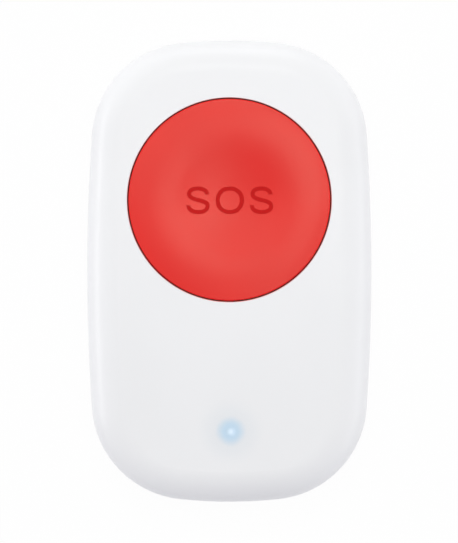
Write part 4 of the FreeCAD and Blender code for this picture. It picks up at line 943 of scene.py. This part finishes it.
NICKEL = (0.74, 0.74, 0.75)
CELL_ROUGHNESS = 0.24
SEAL_DARK = (0.03, 0.03, 0.035)
CAP_RADIUS = 8.8 * MILLIMETRE
RING_WIDTH = 0.45 * MILLIMETRE
RING_EDGE = 0.02 * MILLIMETRE
RING_LEVEL = 0.5 * MILLIMETRE
PLUS_HALF = 1.5 * MILLIMETRE
PLUS_STROKE = 0.3 * MILLIMETRE
PLUS_EDGE = 0.04 * MILLIMETRE
PLUS_LEVEL = 0.2 * MILLIMETRE
LEVEL_EDGE = 0.1 * MILLIMETRE
TURNING_PITCH = 0.22 * MILLIMETRE

cell_low, cell_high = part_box("coin_cell")
cell_middle = middle_of("coin_cell")
material, sockets, places = metal("cell_nickel", NICKEL, CELL_ROUGHNESS)
across, along, level = places.axes()
from_axis = places.node("ShaderNodeCombineXYZ", {}, {"X": across, "Y": along})
reach = from_axis.distance_from((cell_middle.x, cell_middle.y, 0))
ring = reach.ease(CAP_RADIUS - RING_EDGE, CAP_RADIUS)
ring = ring * reach.ease(CAP_RADIUS + RING_WIDTH + RING_EDGE, CAP_RADIUS + RING_WIDTH)
ring = ring * level.ease(cell_high.z - RING_LEVEL - LEVEL_EDGE, cell_high.z - RING_LEVEL)
off_x = abs(across - cell_middle.x)
off_y = abs(along - cell_middle.y)
arms = [
    far.ease(PLUS_HALF + PLUS_EDGE, PLUS_HALF) * near.ease(PLUS_STROKE + PLUS_EDGE, PLUS_STROKE)
    for far, near in ((off_x, off_y), (off_y, off_x))
]
underside = level.ease(cell_low.z + PLUS_LEVEL + LEVEL_EDGE, cell_low.z + PLUS_LEVEL)
plus = arms[0].or_more(arms[1]) * underside
feed(sockets["Base Color"], ring.mix(NICKEL, SEAL_DARK))
feed(sockets["Metallic"], 1 - ring)
roughness = CELL_ROUGHNESS + ring * 0.3 + plus * 0.2 + places.wander(2 * MILLIMETRE, spread=0.1)
feed(sockets["Roughness"], roughness)
emboss(sockets, reach.waves(TURNING_PITCH) * 0.1 - plus * 1.5, strength=0.6, depth=0.02 * MILLIMETRE)
give(nodes["coin_cell"], material)

# The sealing ring: a cord of black rubber with a faint bloom, stretched round the cup of the battery door.
# It closes the gap to the rear cover when the door is locked.

RUBBER_BLACK = (0.022, 0.022, 0.024)
RUBBER_BLOOM = (0.05, 0.05, 0.052)

material, sockets, places = new_finish("ring_rubber", {"Specular IOR Level": 0.35})
bloom = places.noise(1.2 * MILLIMETRE, detail=4.0).ease(0.45, 0.75)
feed(sockets["Base Color"], bloom.mix(RUBBER_BLACK, RUBBER_BLOOM))
mould_surface(sockets, places, roughness=0.55, depth=0.004 * MILLIMETRE)
give(nodes["door_seal"], material)

# The rear cover: the back of the housing, in the same white ABS, pulled on by four screws from behind. It
# meets the front shell in a fine shadow line.

give(nodes["rear_cover"], white_abs("rear_cover_white")[0])

# The battery door: a round bayonet lid in the same white ABS, with a slot for a coin and a small engraved
# dot that points to its locked place.

give(nodes["battery_door"], white_abs("battery_door_white")[0])

# The studio: a wide pale floor, soft lamps round the button and a camera straight above it. The camera,
# and what mirrors, see the floor and the room as white, and the floor keeps a little of the shadow.

FLOOR_SIZE = 6.0
FLOOR_GREY = (0.93, 0.93, 0.94)
WHITE_SHARE = 0.96
ROOM_LIGHT = 0.724
ROOM_WHITE = (1.0, 1.0, 1.0)
# Beyond the housing's lamp end the room is dark near the floor, and lights the button only with faint blue.
END_SHADE = (0.03, 0.0, 0.2)
LAMP_AIM = Vector((0, 0, 0.01))
LAMPS = (
    # name, place, width, length, watts
    ("key", (0.066, 0.066, 0.593), 0.14, 0.14, 0.113),
    ("key_right", (0.124, 0.124, 0.574), 0.14, 0.14, 0.127),
    ("key_behind", (0.0, 0.094, 0.593), 0.14, 0.14, 0.046),
    ("behind", (0.0, 0.272, 0.535), 0.14, 0.14, 0.303),
    ("behind_left", (-0.124, 0.124, 0.574), 0.14, 0.14, 0.093),
    ("front_right", (0.066, -0.066, 0.593), 0.14, 0.14, 0.084),
    ("top", (0.0, 0.62, 0.04), 0.5, 0.06, 0.406),
    ("left", (-0.6, 0.05, 0.04), 0.5, 0.06, 0.669),
    ("right", (0.6, 0.05, 0.04), 0.5, 0.06, 0.276),
    ("low_right", (0.55, -0.3, 0.1), 0.3, 0.16, 0.202),
)
CAMERA_DISTANCE = 2.4
SENSOR = 36
PICTURE_PIXELS = 543
PIXELS_PER_METRE = 5364
PICTURE_SHIFT = -0.06 * MILLIMETRE
# The picture's scale holds at this level, where the housing's side begins to round over to its face.
OUTLINE_LEVEL = 9 * MILLIMETRE


def seen_directly(tree):
    """1 for what the camera, a mirror or glass sees, and 0 for light that only falls on things."""
    rays = tree.nodes.new("ShaderNodeLightPath").outputs
    camera, glossy, transmitted = [
        Signal(rays[name]) for name in ("Is Camera Ray", "Is Glossy Ray", "Is Transmission Ray")
    ]
    return camera.or_more(glossy).or_more(transmitted)


bpy.ops.object.select_all(action="DESELECT")
bpy.ops.mesh.primitive_plane_add(size=FLOOR_SIZE, location=(0, 0, 0))
floor = bpy.context.object
floor.name = "studio_floor"
material = bpy.data.materials.new("floor_paper")
material.use_nodes = True
tree = material.node_tree
tree.nodes.clear()
direct = seen_directly(tree)
paper = direct.node("ShaderNodeBsdfDiffuse", {}, {"Color": FLOOR_GREY})
white = direct.node("ShaderNodeEmission", {}, {"Strength": 1.0})
both = direct.node("ShaderNodeMixShader", {}, {0: direct * WHITE_SHARE, 1: paper, 2: white})
output = tree.nodes.new("ShaderNodeOutputMaterial")
feed(output.inputs["Surface"], both)
give(floor, material)

world = bpy.data.worlds.new("studio_room")
bpy.context.scene.world = world
world.use_nodes = True
tree = world.node_tree
tree.nodes.clear()
direct = seen_directly(tree)
directions = direct.node("ShaderNodeTexCoord", {}, {}, "Generated")
_, along, up = directions.axes()
room = (along.ease(0.1, -0.6) * up.ease(0.5, 0.1)).mix(ROOM_WHITE, END_SHADE)
dim = direct.node("ShaderNodeBackground", {}, {"Color": room, "Strength": ROOM_LIGHT})
bright = direct.node("ShaderNodeBackground", {}, {"Color": ROOM_WHITE, "Strength": 1.0})
both = direct.node("ShaderNodeMixShader", {}, {0: direct, 1: dim, 2: bright})
output = tree.nodes.new("ShaderNodeOutputWorld")
feed(output.inputs["Surface"], both)

for name, place, width, length, watts in LAMPS:
    turn = (LAMP_AIM - Vector(place)).to_track_quat("-Z", "Y").to_euler()
    bpy.ops.object.light_add(type="AREA", location=place, rotation=turn)
    lamp = bpy.context.object
    lamp.name = f"lamp_{name}"
    lamp.visible_camera = False
    lamp.data.shape = "RECTANGLE"
    lamp.data.size = width
    lamp.data.size_y = length
    lamp.data.energy = watts

camera_place = (PICTURE_SHIFT, PICTURE_SHIFT, OUTLINE_LEVEL + CAMERA_DISTANCE)
bpy.ops.object.camera_add(location=camera_place, rotation=(0, 0, 0))
camera = bpy.context.object
camera.data.sensor_width = SENSOR
camera.data.lens = SENSOR * CAMERA_DISTANCE * PIXELS_PER_METRE / PICTURE_PIXELS
bpy.context.scene.camera = camera
bpy.context.scene.view_settings.view_transform = "Standard"
